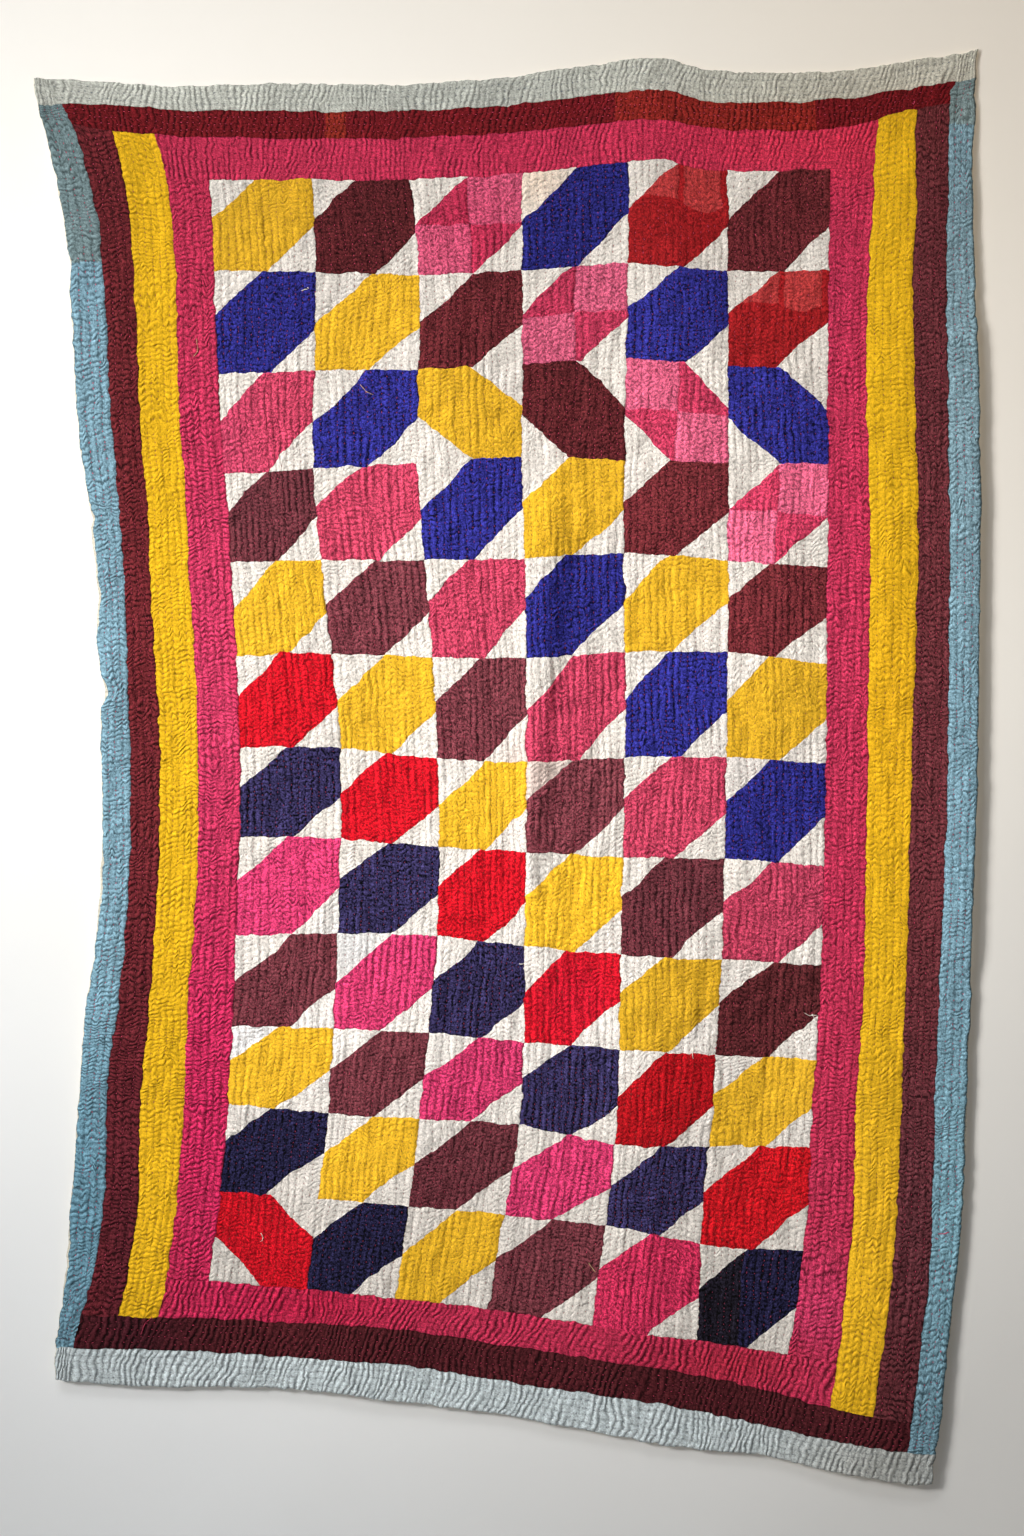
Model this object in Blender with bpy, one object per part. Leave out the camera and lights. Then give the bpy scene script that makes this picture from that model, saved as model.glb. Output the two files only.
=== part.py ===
"""A hand-quilted ralli, hung flat against a wall from its two top corners and one point between.

Every strip of the border, the patchwork field and the backing cloth is a closed solid of its own.
They all follow one hung shape, which is given by where the seams hang and by a few soft folds.
X runs to the viewer's right, Z up, and Y into the wall. The origin is at the middle of the top edge,
on the back of the cloth. Sizes and places below are in millimetres.
"""
import bisect
import functools
import math

import bmesh
import bpy
from mathutils import Vector

MM = 0.001

# Driving dimensions
FRONT_THICKNESS = 2.2       # a strip or the field, with its share of the filling
BACKING_THICKNESS = 1.0
SEAM_GAP = 0.3              # between pieces that are sewn together
BACKING_SHOWS = 1.5         # how far the backing stands out past the blue bands
STAND_OFF = 8.0             # how far the lower part hangs clear of the wall
STAND_OFF_DROP = 300.0      # drop over which it moves away from the wall
FIELD_CELLS_ACROSS = 16
FIELD_CELLS_DOWN = 30

# Where the upright seams hang: how far right of the origin each one lies, at several drops below it.
UPRIGHT_SEAMS = ("outer_left", "blue_left", "maroon_left", "yellow_left", "field_left",
                 "field_right", "yellow_right", "maroon_right", "blue_right", "outer_right")
UPRIGHT_ROWS = (
    # drop: outer_left, blue_left, maroon_left, yellow_left, field_left,
    #       field_right, yellow_right, maroon_right, blue_right, outer_right
    (-45, (-718, -694, -618, -556, -478, 489, 574, 623, 684, 710)),
    (0, (-709, -684, -608, -546, -470, 489, 568, 621, 678, 707)),
    (45, (-701, -664, -600, -540, -464, 488, 563, 619, 668, 705)),
    (110, (-685, -637, -583, -520, -453, 488, 556, 616, 667, 702)),
    (185, (-665, -616, -567, -503, -442, 488, 553, 616, 665, 702)),
    (335, (-651, -600, -555, -494, -435, 486, 543, 612, 663, 706)),
    (500, (-642, -592, -549, -490, -428, 485, 543, 615, 666, 712)),
    (635, (-624, -580, -537, -480, -418, 485, 547, 619, 667, 714)),
    (780, (-612, -571, -531, -471, -408, 483, 547, 618, 667, 712)),
    (1040, (-603, -562, -517, -460, -397, 481, 544, 610, 664, 708)),
    (1235, (-606, -565, -522, -463, -402, 478, 541, 606, 658, 702)),
    (1385, (-626, -580, -532, -475, -408, 472, 538, 601, 652, 697)),
    (1535, (-639, -597, -546, -481, -415, 461, 526, 595, 646, 693)),
    (1685, (-650, -601, -549, -492, -428, 454, 523, 589, 642, 687)),
    (1805, (-660, -620, -568, -508, -444, 442, 513, 579, 636, 677)),
    (1910, (-674, -649, -592, -530, -458, 426, 501, 566, 624, 664)),
    (2010, (-675, -652, -595, -534, -462, 412, 486, 552, 611, 654)),
    (2115, (-677, -654, -597, -536, -464, 404, 474, 540, 597, 639)),
)

# Where the cross seams hang: the drop of each one at several places across the quilt.
# The corners are pinned at -709 and 707, and the peak at 225 hangs from the third pin.
STATIONS = (-700, -600, -500, -330, -160, 0, 225, 300, 385, 500, 620, 700)
CROSS_SEAMS = ("top_edge", "pale_top", "maroon_top", "field_top",
               "field_bottom", "maroon_bottom", "pale_bottom", "bottom_edge")
CROSS_ROWS = (
    (1, 6, 13, 9, 11, 0, -29, -13, -8, -10, -26, -41),                                # top_edge
    (40, 40, 48, 50, 50, 41, 19, 34, 38, 32, 15, 1),                                  # pale_top
    (62, 79, 87, 92, 91, 84, 64, 76, 80, 76, 46, 36),                                 # maroon_top
    (150, 151, 152, 154, 154, 146, 126, 139, 142, 138, 132, 128),                     # field_top
    (1800, 1802, 1804, 1818, 1833, 1853, 1890, 1898, 1912, 1932, 1950, 1962),         # field_bottom
    (1857, 1860, 1862, 1870, 1880, 1905, 1938, 1952, 1971, 2000, 2022, 2037),         # maroon_bottom
    (1908, 1910, 1912, 1922, 1934, 1959, 1992, 2006, 2024, 2049, 2066, 2073),         # pale_bottom
    (1955, 1962, 1967, 1969, 1989, 2010, 2052, 2061, 2069, 2096, 2112, 2115),         # bottom_edge
)

# The main folds: soft ridges towards the viewer, each along a line from its head to its foot.
FOLDS = (
    # head x, head drop, foot x, foot drop, half width, height
    (-640, 120, -585, 620, 60, 7),       # the left edge curls below its pin
    (-590, 900, -600, 1480, 55, 9),      # the left waist
    (-300, 260, -330, 1000, 85, 5),
    (-90, 420, -70, 1250, 80, 7),
    (45, 700, 50, 1330, 60, 9),
    (225, 90, 300, 640, 70, 9),          # below the third pin
    (410, 480, 415, 960, 60, 8),
    (620, 160, 560, 900, 75, 8),         # below the right pin
    (690, 400, 690, 1300, 40, 6),        # the right edge lifts
    (-480, 1100, -520, 1800, 80, 8),
    (-150, 1500, -200, 1900, 90, 7),
    (240, 1350, 180, 1900, 80, 9),
    (520, 1500, 560, 2050, 80, 11),
)

# Each cloth piece: its colour, and the seams on its left, right, upper and lower sides.
FRONT_PIECES = (
    ("edge_band_top", "pale", "outer_left", "outer_right", "top_edge", "pale_top"),
    ("edge_band_bottom", "pale", "outer_left", "outer_right", "pale_bottom", "bottom_edge"),
    ("blue_band_left", "blue", "outer_left", "blue_left", "pale_top", "pale_bottom"),
    ("blue_band_right", "blue", "blue_right", "outer_right", "pale_top", "pale_bottom"),
    ("maroon_band_top", "maroon", "blue_left", "blue_right", "pale_top", "maroon_top"),
    ("maroon_band_bottom", "maroon", "blue_left", "blue_right", "maroon_bottom", "pale_bottom"),
    ("maroon_band_left", "maroon", "blue_left", "maroon_left", "maroon_top", "maroon_bottom"),
    ("maroon_band_right", "maroon", "maroon_right", "blue_right", "maroon_top", "maroon_bottom"),
    ("yellow_stripe_left", "yellow", "maroon_left", "yellow_left", "maroon_top", "maroon_bottom"),
    ("yellow_stripe_right", "yellow", "yellow_right", "maroon_right", "maroon_top", "maroon_bottom"),
    ("pink_band_top", "pink", "yellow_left", "yellow_right", "maroon_top", "field_top"),
    ("pink_band_bottom", "pink", "yellow_left", "yellow_right", "field_bottom", "maroon_bottom"),
    ("pink_band_left", "pink", "yellow_left", "field_left", "field_top", "field_bottom"),
    ("pink_band_right", "pink", "field_right", "yellow_right", "field_top", "field_bottom"),
    ("patchwork_field", "patchwork", "field_left", "field_right", "field_top", "field_bottom"),
)
BACKING_PIECE = ("backing_cloth", "backing", "outer_left", "outer_right", "top_edge", "bottom_edge")

CLOTH_ROUGHNESS = 0.85
COLOURS = {
    "pale": (0.50, 0.55, 0.49),
    "blue": (0.22, 0.40, 0.47),
    "maroon": (0.10, 0.02, 0.03),
    "yellow": (0.80, 0.47, 0.02),
    "pink": (0.53, 0.04, 0.14),
    "patchwork": (0.72, 0.67, 0.60),
    "backing": (0.76, 0.72, 0.62),
}


def smooth_curve(stations, values):
    """A smooth curve through values at rising stations, as a function. Its ends run on straight."""
    last = len(stations) - 1
    slopes = []
    for i in range(last + 1):
        before = max(i - 1, 0)
        after = min(i + 1, last)
        slopes.append((values[after] - values[before]) / (stations[after] - stations[before]))

    def read(at):
        if at <= stations[0]:
            return values[0] + slopes[0] * (at - stations[0])
        if at >= stations[last]:
            return values[last] + slopes[last] * (at - stations[last])
        i = bisect.bisect_right(stations, at) - 1
        step = stations[i + 1] - stations[i]
        t = (at - stations[i]) / step
        rise = (values[i + 1] - values[i]) * t * t * (3 - 2 * t)
        turn = step * t * (1 - t) * ((1 - t) * slopes[i] - t * slopes[i + 1])
        return values[i] + rise + turn

    return read


UPRIGHT_DROPS = [drop for drop, _ in UPRIGHT_ROWS]
UPRIGHT_CURVES = [smooth_curve(UPRIGHT_DROPS, line) for line in zip(*[row for _, row in UPRIGHT_ROWS])]
CROSS_CURVES = [smooth_curve(STATIONS, row) for row in CROSS_ROWS]
SETTLING_STEPS = 6          # rounds in which a point's x and drop settle on both sets of seams


def at_seam_number(curves, number, at):
    """Read a set of seams at a number such as 3.5, which is half way between seams 3 and 4."""
    lower = min(int(number), len(curves) - 2)
    start = curves[lower](at)
    return start + (curves[lower + 1](at) - start) * (number - lower)


@functools.lru_cache(maxsize=None)
def hung_place(across, down):
    """Where a point of the cloth hangs, as its x and its drop. It is named by its seam numbers."""
    x = 0
    for _ in range(SETTLING_STEPS):
        drop = at_seam_number(CROSS_CURVES, down, x)
        x = at_seam_number(UPRIGHT_CURVES, across, drop)
    return x, drop


def clear_of_wall(x, drop):
    """How far the back of the cloth hangs in front of the wall, folds included."""
    clear = STAND_OFF * (1 - math.exp(-max(drop, 0) / STAND_OFF_DROP))
    for head_x, head_drop, foot_x, foot_drop, half_width, height in FOLDS:
        run_x = foot_x - head_x
        run_drop = foot_drop - head_drop
        along = ((x - head_x) * run_x + (drop - head_drop) * run_drop) / (run_x ** 2 + run_drop ** 2)
        along = min(max(along, 0), 1)
        apart = math.hypot(x - head_x - run_x * along, drop - head_drop - run_drop * along)
        clear += height * math.exp(-(apart / half_width) ** 2)
    return clear


def grid_lines(seams, first, last, field_seam, field_cells):
    """Seam numbers of the grid lines between two seams. Pieces that meet share their lines."""
    lines = []
    for seam in range(seams.index(first), seams.index(last)):
        cells = field_cells if seams[seam] == field_seam else 1
        lines += [seam + cell / cells for cell in range(cells)]
    return lines + [seams.index(last)]


def lengthen(line, past):
    """Move both ends of a line of points on along the cloth, or back if past is negative."""
    for end, neighbour in ((line[0], line[1]), (line[-1], line[-2])):
        end += (end - neighbour).normalized() * past


def add_cloth(piece, back_at, thickness, past_sides, past_ends):
    """Add one cloth piece as a closed solid with its faces along the hung shape.

    back_at is the distance from the cloth's back to the piece's back. past_sides and past_ends are
    how far the piece reaches past its seams, left and right and then above and below.
    """
    name, colour, left, right, upper, lower = piece
    across = grid_lines(UPRIGHT_SEAMS, left, right, "field_left", FIELD_CELLS_ACROSS)
    down = grid_lines(CROSS_SEAMS, upper, lower, "field_top", FIELD_CELLS_DOWN)
    rows = []
    for down_number in down:
        row = []
        for across_number in across:
            x, drop = hung_place(across_number, down_number)
            front = clear_of_wall(x, drop) + back_at + thickness
            row.append(Vector((x, -front, -drop)))
        rows.append(row)
    for row in rows:
        lengthen(row, past_sides)
    for column in zip(*rows):
        lengthen(column, past_ends)
    shape = bmesh.new()
    corners = [[shape.verts.new(point * MM) for point in row] for row in rows]
    for upper_row, lower_row in zip(corners, corners[1:]):
        for i in range(len(across) - 1):
            shape.faces.new((upper_row[i], lower_row[i], lower_row[i + 1]))
            shape.faces.new((upper_row[i], lower_row[i + 1], upper_row[i + 1]))
    extruded = bmesh.ops.extrude_face_region(shape, geom=shape.faces[:])
    back = [item for item in extruded["geom"] if isinstance(item, bmesh.types.BMVert)]
    bmesh.ops.translate(shape, verts=back, vec=(0, thickness * MM, 0))
    bmesh.ops.recalc_face_normals(shape, faces=shape.faces[:])
    mesh = bpy.data.meshes.new(name)
    shape.to_mesh(mesh)
    shape.free()
    mesh.materials.append(cloth_material(name, COLOURS[colour]))
    bpy.context.collection.objects.link(bpy.data.objects.new(name, mesh))


def cloth_material(name, colour):
    """A plain matt cloth of one colour."""
    material = bpy.data.materials.new(name)
    material.use_nodes = True
    shader = material.node_tree.nodes["Principled BSDF"]
    shader.inputs["Base Color"].default_value = (*colour, 1)
    shader.inputs["Roughness"].default_value = CLOTH_ROUGHNESS
    shader.inputs["Metallic"].default_value = 0
    return material


def build_quilt():
    """Add the backing cloth, then the pieces of the front a seam's gap before it."""
    for item in list(bpy.data.objects):
        bpy.data.objects.remove(item, do_unlink=True)
    add_cloth(BACKING_PIECE, 0, BACKING_THICKNESS, BACKING_SHOWS, 0)
    for piece in FRONT_PIECES:
        add_cloth(piece, BACKING_THICKNESS + SEAM_GAP, FRONT_THICKNESS, -SEAM_GAP / 2, -SEAM_GAP / 2)


build_quilt()
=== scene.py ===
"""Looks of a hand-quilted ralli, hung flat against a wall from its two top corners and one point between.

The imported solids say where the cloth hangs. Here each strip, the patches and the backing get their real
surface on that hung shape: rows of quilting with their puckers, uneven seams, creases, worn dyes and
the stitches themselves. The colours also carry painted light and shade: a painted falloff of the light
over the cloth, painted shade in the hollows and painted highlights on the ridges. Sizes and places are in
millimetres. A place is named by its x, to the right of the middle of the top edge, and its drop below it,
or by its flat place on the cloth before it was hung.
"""
import functools
import math

import bpy
import numpy as np
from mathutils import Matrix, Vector


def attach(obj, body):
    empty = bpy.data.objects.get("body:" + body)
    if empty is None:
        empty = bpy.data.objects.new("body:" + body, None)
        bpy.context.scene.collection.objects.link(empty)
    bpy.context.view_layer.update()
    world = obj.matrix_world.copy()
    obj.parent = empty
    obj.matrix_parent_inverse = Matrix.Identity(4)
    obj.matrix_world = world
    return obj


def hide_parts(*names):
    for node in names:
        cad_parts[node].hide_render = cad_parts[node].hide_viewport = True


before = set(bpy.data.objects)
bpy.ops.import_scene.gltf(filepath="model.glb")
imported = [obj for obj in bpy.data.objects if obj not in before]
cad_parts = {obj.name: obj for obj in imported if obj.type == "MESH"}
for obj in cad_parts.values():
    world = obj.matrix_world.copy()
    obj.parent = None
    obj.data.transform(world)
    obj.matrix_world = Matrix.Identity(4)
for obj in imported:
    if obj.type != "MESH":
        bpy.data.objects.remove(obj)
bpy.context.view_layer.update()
MM = 0.001

# ---------------------------------------------------------------- the hung shape, as the solids have it

UPRIGHT_ROWS = (
    # drop: outer_left, blue_left, maroon_left, yellow_left, field_left,
    #       field_right, yellow_right, maroon_right, blue_right, outer_right
    (-45, (-718, -694, -618, -556, -478, 489, 574, 623, 684, 710)),
    (0, (-709, -684, -608, -546, -470, 489, 568, 621, 678, 707)),
    (45, (-701, -664, -600, -540, -464, 488, 563, 619, 668, 705)),
    (110, (-685, -637, -583, -520, -453, 488, 556, 616, 667, 702)),
    (185, (-665, -616, -567, -503, -442, 488, 553, 616, 665, 702)),
    (335, (-651, -600, -555, -494, -435, 486, 543, 612, 663, 706)),
    (500, (-642, -592, -549, -490, -428, 485, 543, 615, 666, 712)),
    (635, (-624, -580, -537, -480, -418, 485, 547, 619, 667, 714)),
    (780, (-612, -571, -531, -471, -408, 483, 547, 618, 667, 712)),
    (1040, (-603, -562, -517, -460, -397, 481, 544, 610, 664, 708)),
    (1235, (-606, -565, -522, -463, -402, 478, 541, 606, 658, 702)),
    (1385, (-626, -580, -532, -475, -408, 472, 538, 601, 652, 697)),
    (1535, (-639, -597, -546, -481, -415, 461, 526, 595, 646, 693)),
    (1685, (-650, -601, -549, -492, -428, 454, 523, 589, 642, 687)),
    (1805, (-660, -620, -568, -508, -444, 442, 513, 579, 636, 677)),
    (1910, (-674, -649, -592, -530, -458, 426, 501, 566, 624, 664)),
    (2010, (-675, -652, -595, -534, -462, 412, 486, 552, 611, 654)),
    (2115, (-677, -654, -597, -536, -464, 404, 474, 540, 597, 639)),
)
STATIONS = (-700, -600, -500, -330, -160, 0, 225, 300, 385, 500, 620, 700)
CROSS_ROWS = (
    # the drop of each level seam at the stations above
    (1, 6, 13, 9, 11, 0, -29, -13, -8, -10, -26, -41),                          # top_edge
    (40, 40, 48, 50, 50, 41, 19, 34, 38, 32, 15, 1),                            # pale_top
    (62, 79, 87, 92, 91, 84, 64, 76, 80, 76, 46, 36),                           # maroon_top
    (150, 151, 152, 154, 154, 146, 126, 139, 142, 138, 132, 128),               # field_top
    (1800, 1802, 1804, 1818, 1833, 1853, 1890, 1898, 1912, 1932, 1950, 1962),   # field_bottom
    (1857, 1860, 1862, 1870, 1880, 1905, 1938, 1952, 1971, 2000, 2022, 2037),   # maroon_bottom
    (1908, 1910, 1912, 1922, 1934, 1959, 1992, 2006, 2024, 2049, 2066, 2073),   # pale_bottom
    (1955, 1962, 1967, 1969, 1989, 2010, 2052, 2061, 2069, 2096, 2112, 2115),   # bottom_edge
)
STAND_OFF = 8.0
STAND_OFF_DROP = 300.0
FOLDS = (
    # head x, head drop, foot x, foot drop, half width, height
    (-640, 120, -585, 620, 60, 7),
    (-590, 900, -600, 1480, 55, 9),
    (-300, 260, -330, 1000, 85, 5),
    (-90, 420, -70, 1250, 80, 7),
    (45, 700, 50, 1330, 60, 9),
    (225, 90, 300, 640, 70, 9),
    (410, 480, 415, 960, 60, 8),
    (620, 160, 560, 900, 75, 8),
    (690, 400, 690, 1300, 40, 6),
    (-480, 1100, -520, 1800, 80, 8),
    (-150, 1500, -200, 1900, 90, 7),
    (240, 1350, 180, 1900, 80, 9),
    (520, 1500, 560, 2050, 80, 11),
)

# The seams between the squares of the field, which the solids leave out
COLUMN_ROWS = (
    # drop: the seams after columns 1 to 5
    (156, (-290, -143, 26, 185, 335)),
    (291, (-284, -129, 26, 185, 335)),
    (591, (-288, -131, 26, 179, 335)),
    (734, (-275, -120, 30, 179, 335)),
    (1011, (-248, -101, 32, 180, 333)),
    (1289, (-251, -102, 30, 174, 326)),
    (1559, (-266, -128, 23, 168, 311)),
    (1686, (-281, -143, 3, 155, 297)),
    (1836, (-300, -165, -23, 135, 291)),
)
SQUARE_STATIONS = (-415, -270, -120, 27, 178, 330, 478)
SQUARE_ROWS = (
    # the drop of the seam after each row of squares, at the stations above
    (291, 294, 297, 290, 281, 291, 291),
    (446, 441, 440, 431, 423, 434, 437),
    (597, 588, 581, 572, 575, 581, 581),
    (729, 726, 726, 723, 716, 726, 737),
    (870, 866, 872, 873, 864, 864, 882),
    (1008, 1007, 1022, 1029, 1022, 1022, 1031),
    (1140, 1143, 1154, 1164, 1172, 1175, 1185),
    (1289, 1286, 1289, 1304, 1319, 1326, 1334),
    (1425, 1428, 1436, 1449, 1460, 1469, 1476),
    (1542, 1556, 1565, 1575, 1604, 1605, 1608),
    (1674, 1685, 1698, 1712, 1728, 1758, 1761),
)
COLUMNS = 6
ROWS = 12

# ---------------------------------------------------------------- the flat cloth and its quilting

# Strips and columns from left to right: name, flat width, gaps between quilting rows, grid cells
ACROSS_STRIPS = (
    ("blue_left", 45, 4, 16),
    ("maroon_left", 47, 4, 16),
    ("yellow_left", 60, 6, 24),
    ("pink_left", 64, 6, 24),
    *[("column", 151, 14, 56)] * COLUMNS,
    ("pink_right", 66, 6, 24),
    ("yellow_right", 64, 6, 24),
    ("maroon_right", 52, 5, 20),
    ("blue_right", 43, 4, 16),
)
# Strips and rows from the top down
DOWN_STRIPS = (
    ("pale_top", 40, 4, 16),
    ("maroon_top", 42, 4, 16),
    ("pink_top", 62, 6, 24),
    *[("row", 143, 13, 58)] * ROWS,
    ("pink_bottom", 58, 6, 24),
    ("maroon_bottom", 53, 5, 20),
    ("pale_bottom", 50, 5, 20),
)
FIRST_COLUMN = 4            # how many strips lie left of the first column
FIRST_ROW = 3
FRONT_PIECES = (
    # node, cloth, first and last upright seam, first and last cross seam
    ("edge_band_top", "pale", 0, 14, 0, 1),
    ("edge_band_bottom", "pale", 0, 14, 17, 18),
    ("blue_band_left", "blue", 0, 1, 1, 17),
    ("blue_band_right", "blue", 13, 14, 1, 17),
    ("maroon_band_top", "maroon", 1, 13, 1, 2),
    ("maroon_band_bottom", "maroon", 1, 13, 16, 17),
    ("maroon_band_left", "maroon", 1, 2, 2, 16),
    ("maroon_band_right", "maroon", 12, 13, 2, 16),
    ("yellow_stripe_left", "yellow", 2, 3, 2, 16),
    ("yellow_stripe_right", "yellow", 11, 12, 2, 16),
    ("pink_band_top", "pink", 3, 11, 2, 3),
    ("pink_band_bottom", "pink", 3, 11, 15, 16),
    ("pink_band_left", "pink", 3, 4, 3, 15),
    ("pink_band_right", "pink", 10, 11, 3, 15),
)

FRONT_LEVEL = 2.9           # from the cloth's back to the stitched valleys of the front
LOWEST = -1.3               # how far the front may dip below that level
BACKING_LEVEL = 0.9         # from the cloth's back to the backing's face
RNG = np.random.default_rng(20)


def smooth_curve(stations, values):
    """A smooth curve through values at rising stations, read for whole arrays. Its ends run on straight."""
    stations = np.array(stations, float)
    values = np.array(values, float)
    last = len(values) - 1
    before = np.maximum(np.arange(last + 1) - 1, 0)
    after = np.minimum(np.arange(last + 1) + 1, last)
    slopes = (values[after] - values[before]) / (stations[after] - stations[before])

    def read(at):
        i = np.clip(np.searchsorted(stations, at, side="right") - 1, 0, last - 1)
        step = stations[i + 1] - stations[i]
        t = (np.clip(at, stations[0], stations[last]) - stations[i]) / step
        rise = (values[i + 1] - values[i]) * t * t * (3 - 2 * t)
        turn = step * t * (1 - t) * ((1 - t) * slopes[i] - t * slopes[i + 1])
        past_start = np.minimum(at - stations[0], 0) * slopes[0]
        past_end = np.maximum(at - stations[last], 0) * slopes[last]
        return values[i] + rise + turn + past_start + past_end

    return read


def curves_of(rows):
    """Curves of the seams in a table whose rows are a drop and the seams' places at it."""
    drops = [drop for drop, _ in rows]
    return [smooth_curve(drops, line) for line in zip(*[row for _, row in rows])]


OUTER_UPRIGHTS = curves_of(UPRIGHT_ROWS)
UPRIGHT_CURVES = OUTER_UPRIGHTS[:5] + curves_of(COLUMN_ROWS) + OUTER_UPRIGHTS[5:]
OUTER_CROSSES = [smooth_curve(STATIONS, row) for row in CROSS_ROWS]
SQUARE_CROSSES = [smooth_curve(SQUARE_STATIONS, row) for row in SQUARE_ROWS]
CROSS_CURVES = OUTER_CROSSES[:4] + SQUARE_CROSSES + OUTER_CROSSES[4:]
SETTLING_STEPS = 6


def read_seams(curves, number, at):
    """Seams read at numbers such as 3.5, which is half way between seams 3 and 4."""
    result = np.empty_like(at)
    lower = np.clip(number.astype(int), 0, len(curves) - 2)
    for i in range(len(curves) - 1):
        here = lower == i
        start = curves[i](at[here])
        result[here] = start + (curves[i + 1](at[here]) - start) * (number[here] - i)
    return result


def near_line(x, drop, head_x, head_drop, foot_x, foot_drop):
    """How far points lie from a straight line, and how far along it, from 0 to 1."""
    run_x = foot_x - head_x
    run_drop = foot_drop - head_drop
    along = ((x - head_x) * run_x + (drop - head_drop) * run_drop) / (run_x ** 2 + run_drop ** 2)
    along = np.clip(along, 0, 1)
    return np.hypot(x - head_x - run_x * along, drop - head_drop - run_drop * along), along


def clear_of_wall(x, drop):
    """How far the back of the cloth hangs in front of the wall, as the solids have it."""
    clear = STAND_OFF * (1 - np.exp(-np.maximum(drop, 0) / STAND_OFF_DROP))
    for *line, half_width, height in FOLDS:
        apart, _ = near_line(x, drop, *line)
        clear += height * np.exp(-(apart / half_width) ** 2)
    return clear


def running_total(strips, column):
    """At each seam, the total of a column of a strips table up to it: 1 flat size, 2 gaps, 3 grid cells."""
    return np.cumsum([0] + [strip[column] for strip in strips])


def seam_numbers(cells):
    """The seam numbers of grid lines, such as 3.5, from how many cells lie between the seams."""
    return np.concatenate([[0]] + [seam + (np.arange(count) + 1) / count for seam, count in enumerate(cells)])


ACROSS_SEAMS, ACROSS_GAPS, ACROSS_LINES = [running_total(ACROSS_STRIPS, column) for column in (1, 2, 3)]
DOWN_SEAMS, DOWN_GAPS, DOWN_LINES = [running_total(DOWN_STRIPS, column) for column in (1, 2, 3)]
ACROSS_NUMBERS = seam_numbers([cells for *_, cells in ACROSS_STRIPS])
DOWN_NUMBERS = seam_numbers([cells for *_, cells in DOWN_STRIPS])
ACROSS_FLAT = np.interp(ACROSS_NUMBERS, np.arange(len(ACROSS_SEAMS)), ACROSS_SEAMS)
DOWN_FLAT = np.interp(DOWN_NUMBERS, np.arange(len(DOWN_SEAMS)), DOWN_SEAMS)
FLAT_WIDTH = int(ACROSS_SEAMS[-1])
FLAT_LENGTH = int(DOWN_SEAMS[-1])
_, COLUMN_WIDTH, _, COLUMN_CELLS = ACROSS_STRIPS[FIRST_COLUMN]
_, ROW_LENGTH, _, ROW_CELLS = DOWN_STRIPS[FIRST_ROW]
SQUARES = [(row, column) for row in range(ROWS) for column in range(COLUMNS)]


def in_squares(flat_x, flat_z):
    """Flat places counted in squares, across and down from the field's upper left corner."""
    return (flat_x - ACROSS_SEAMS[FIRST_COLUMN]) / COLUMN_WIDTH, (flat_z - DOWN_SEAMS[FIRST_ROW]) / ROW_LENGTH


def square_part(row, column):
    """The part of the grid that a square covers, with its seams."""
    line = DOWN_LINES[FIRST_ROW + row]
    post = ACROSS_LINES[FIRST_COLUMN + column]
    return slice(line, line + ROW_CELLS + 1), slice(post, post + COLUMN_CELLS + 1)


# ---------------------------------------------------------------- unevenness over the flat cloth

# One value for each millimetre
RASTER_SHAPE = (FLAT_LENGTH + 2, FLAT_WIDTH + 2)
RASTER_Z, RASTER_X = np.mgrid[0:RASTER_SHAPE[0], 0:RASTER_SHAPE[1]].astype(float)


def soft_noise(reach_x, reach_z):
    """Uneven values over the flat cloth, with features about as large as the reaches, of spread 1."""
    spectrum = np.fft.rfft2(RNG.standard_normal(RASTER_SHAPE))
    fx = np.fft.rfftfreq(RASTER_SHAPE[1])
    fz = np.fft.fftfreq(RASTER_SHAPE[0])[:, None]
    spectrum *= np.exp(-2 * ((fx * reach_x) ** 2 + (fz * reach_z) ** 2))
    values = np.fft.irfft2(spectrum, s=RASTER_SHAPE)
    return values / values.std()


def noises(*parts):
    """A sum of soft noises, each given as its strength and its two reaches."""
    return sum(strength * soft_noise(*reaches) for strength, *reaches in parts)


def between_crossings(grid, line, post):
    """A grid's values, or its points, at lines and posts that may lie between its own."""
    j = np.clip(line.astype(int), 0, grid.shape[0] - 2)
    i = np.clip(post.astype(int), 0, grid.shape[1] - 2)
    more = (1,) * (grid.ndim - 2)
    low = (line - j).reshape(j.shape + more)
    right = (post - i).reshape(i.shape + more)
    upper = grid[j, i] * (1 - right) + grid[j, i + 1] * right
    lower = grid[j + 1, i] * (1 - right) + grid[j + 1, i + 1] * right
    return upper * (1 - low) + lower * low


def read_raster(raster, flat_x, flat_z):
    """A raster's values at flat places."""
    last_line, last_post = RASTER_SHAPE[0] - 1.001, RASTER_SHAPE[1] - 1.001
    return between_crossings(raster, np.clip(flat_z, 0, last_line), np.clip(flat_x, 0, last_post))


def runs_level(node):
    """Whether a band lies above or below the field, with its quilting rows level."""
    return node.endswith(("top", "bottom"))


LEVEL_BANDS, SIDE_BANDS, FIELD = range(3)


def zones():
    """The raster of where the bands with level rows, the side bands and the field are."""
    zone = np.full(RASTER_SHAPE, SIDE_BANDS)
    field_across = slice(ACROSS_SEAMS[FIRST_COLUMN], ACROSS_SEAMS[FIRST_COLUMN + COLUMNS])
    zone[DOWN_SEAMS[FIRST_ROW]:DOWN_SEAMS[FIRST_ROW + ROWS], field_across] = FIELD
    for node, _, left, right, upper, lower in FRONT_PIECES:
        if runs_level(node):
            across = slice(ACROSS_SEAMS[left], ACROSS_SEAMS[right] + 1)
            zone[DOWN_SEAMS[upper]:DOWN_SEAMS[lower] + 1, across] = LEVEL_BANDS
    return zone


ZONE = zones()
LEVEL = ZONE == LEVEL_BANDS

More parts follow.
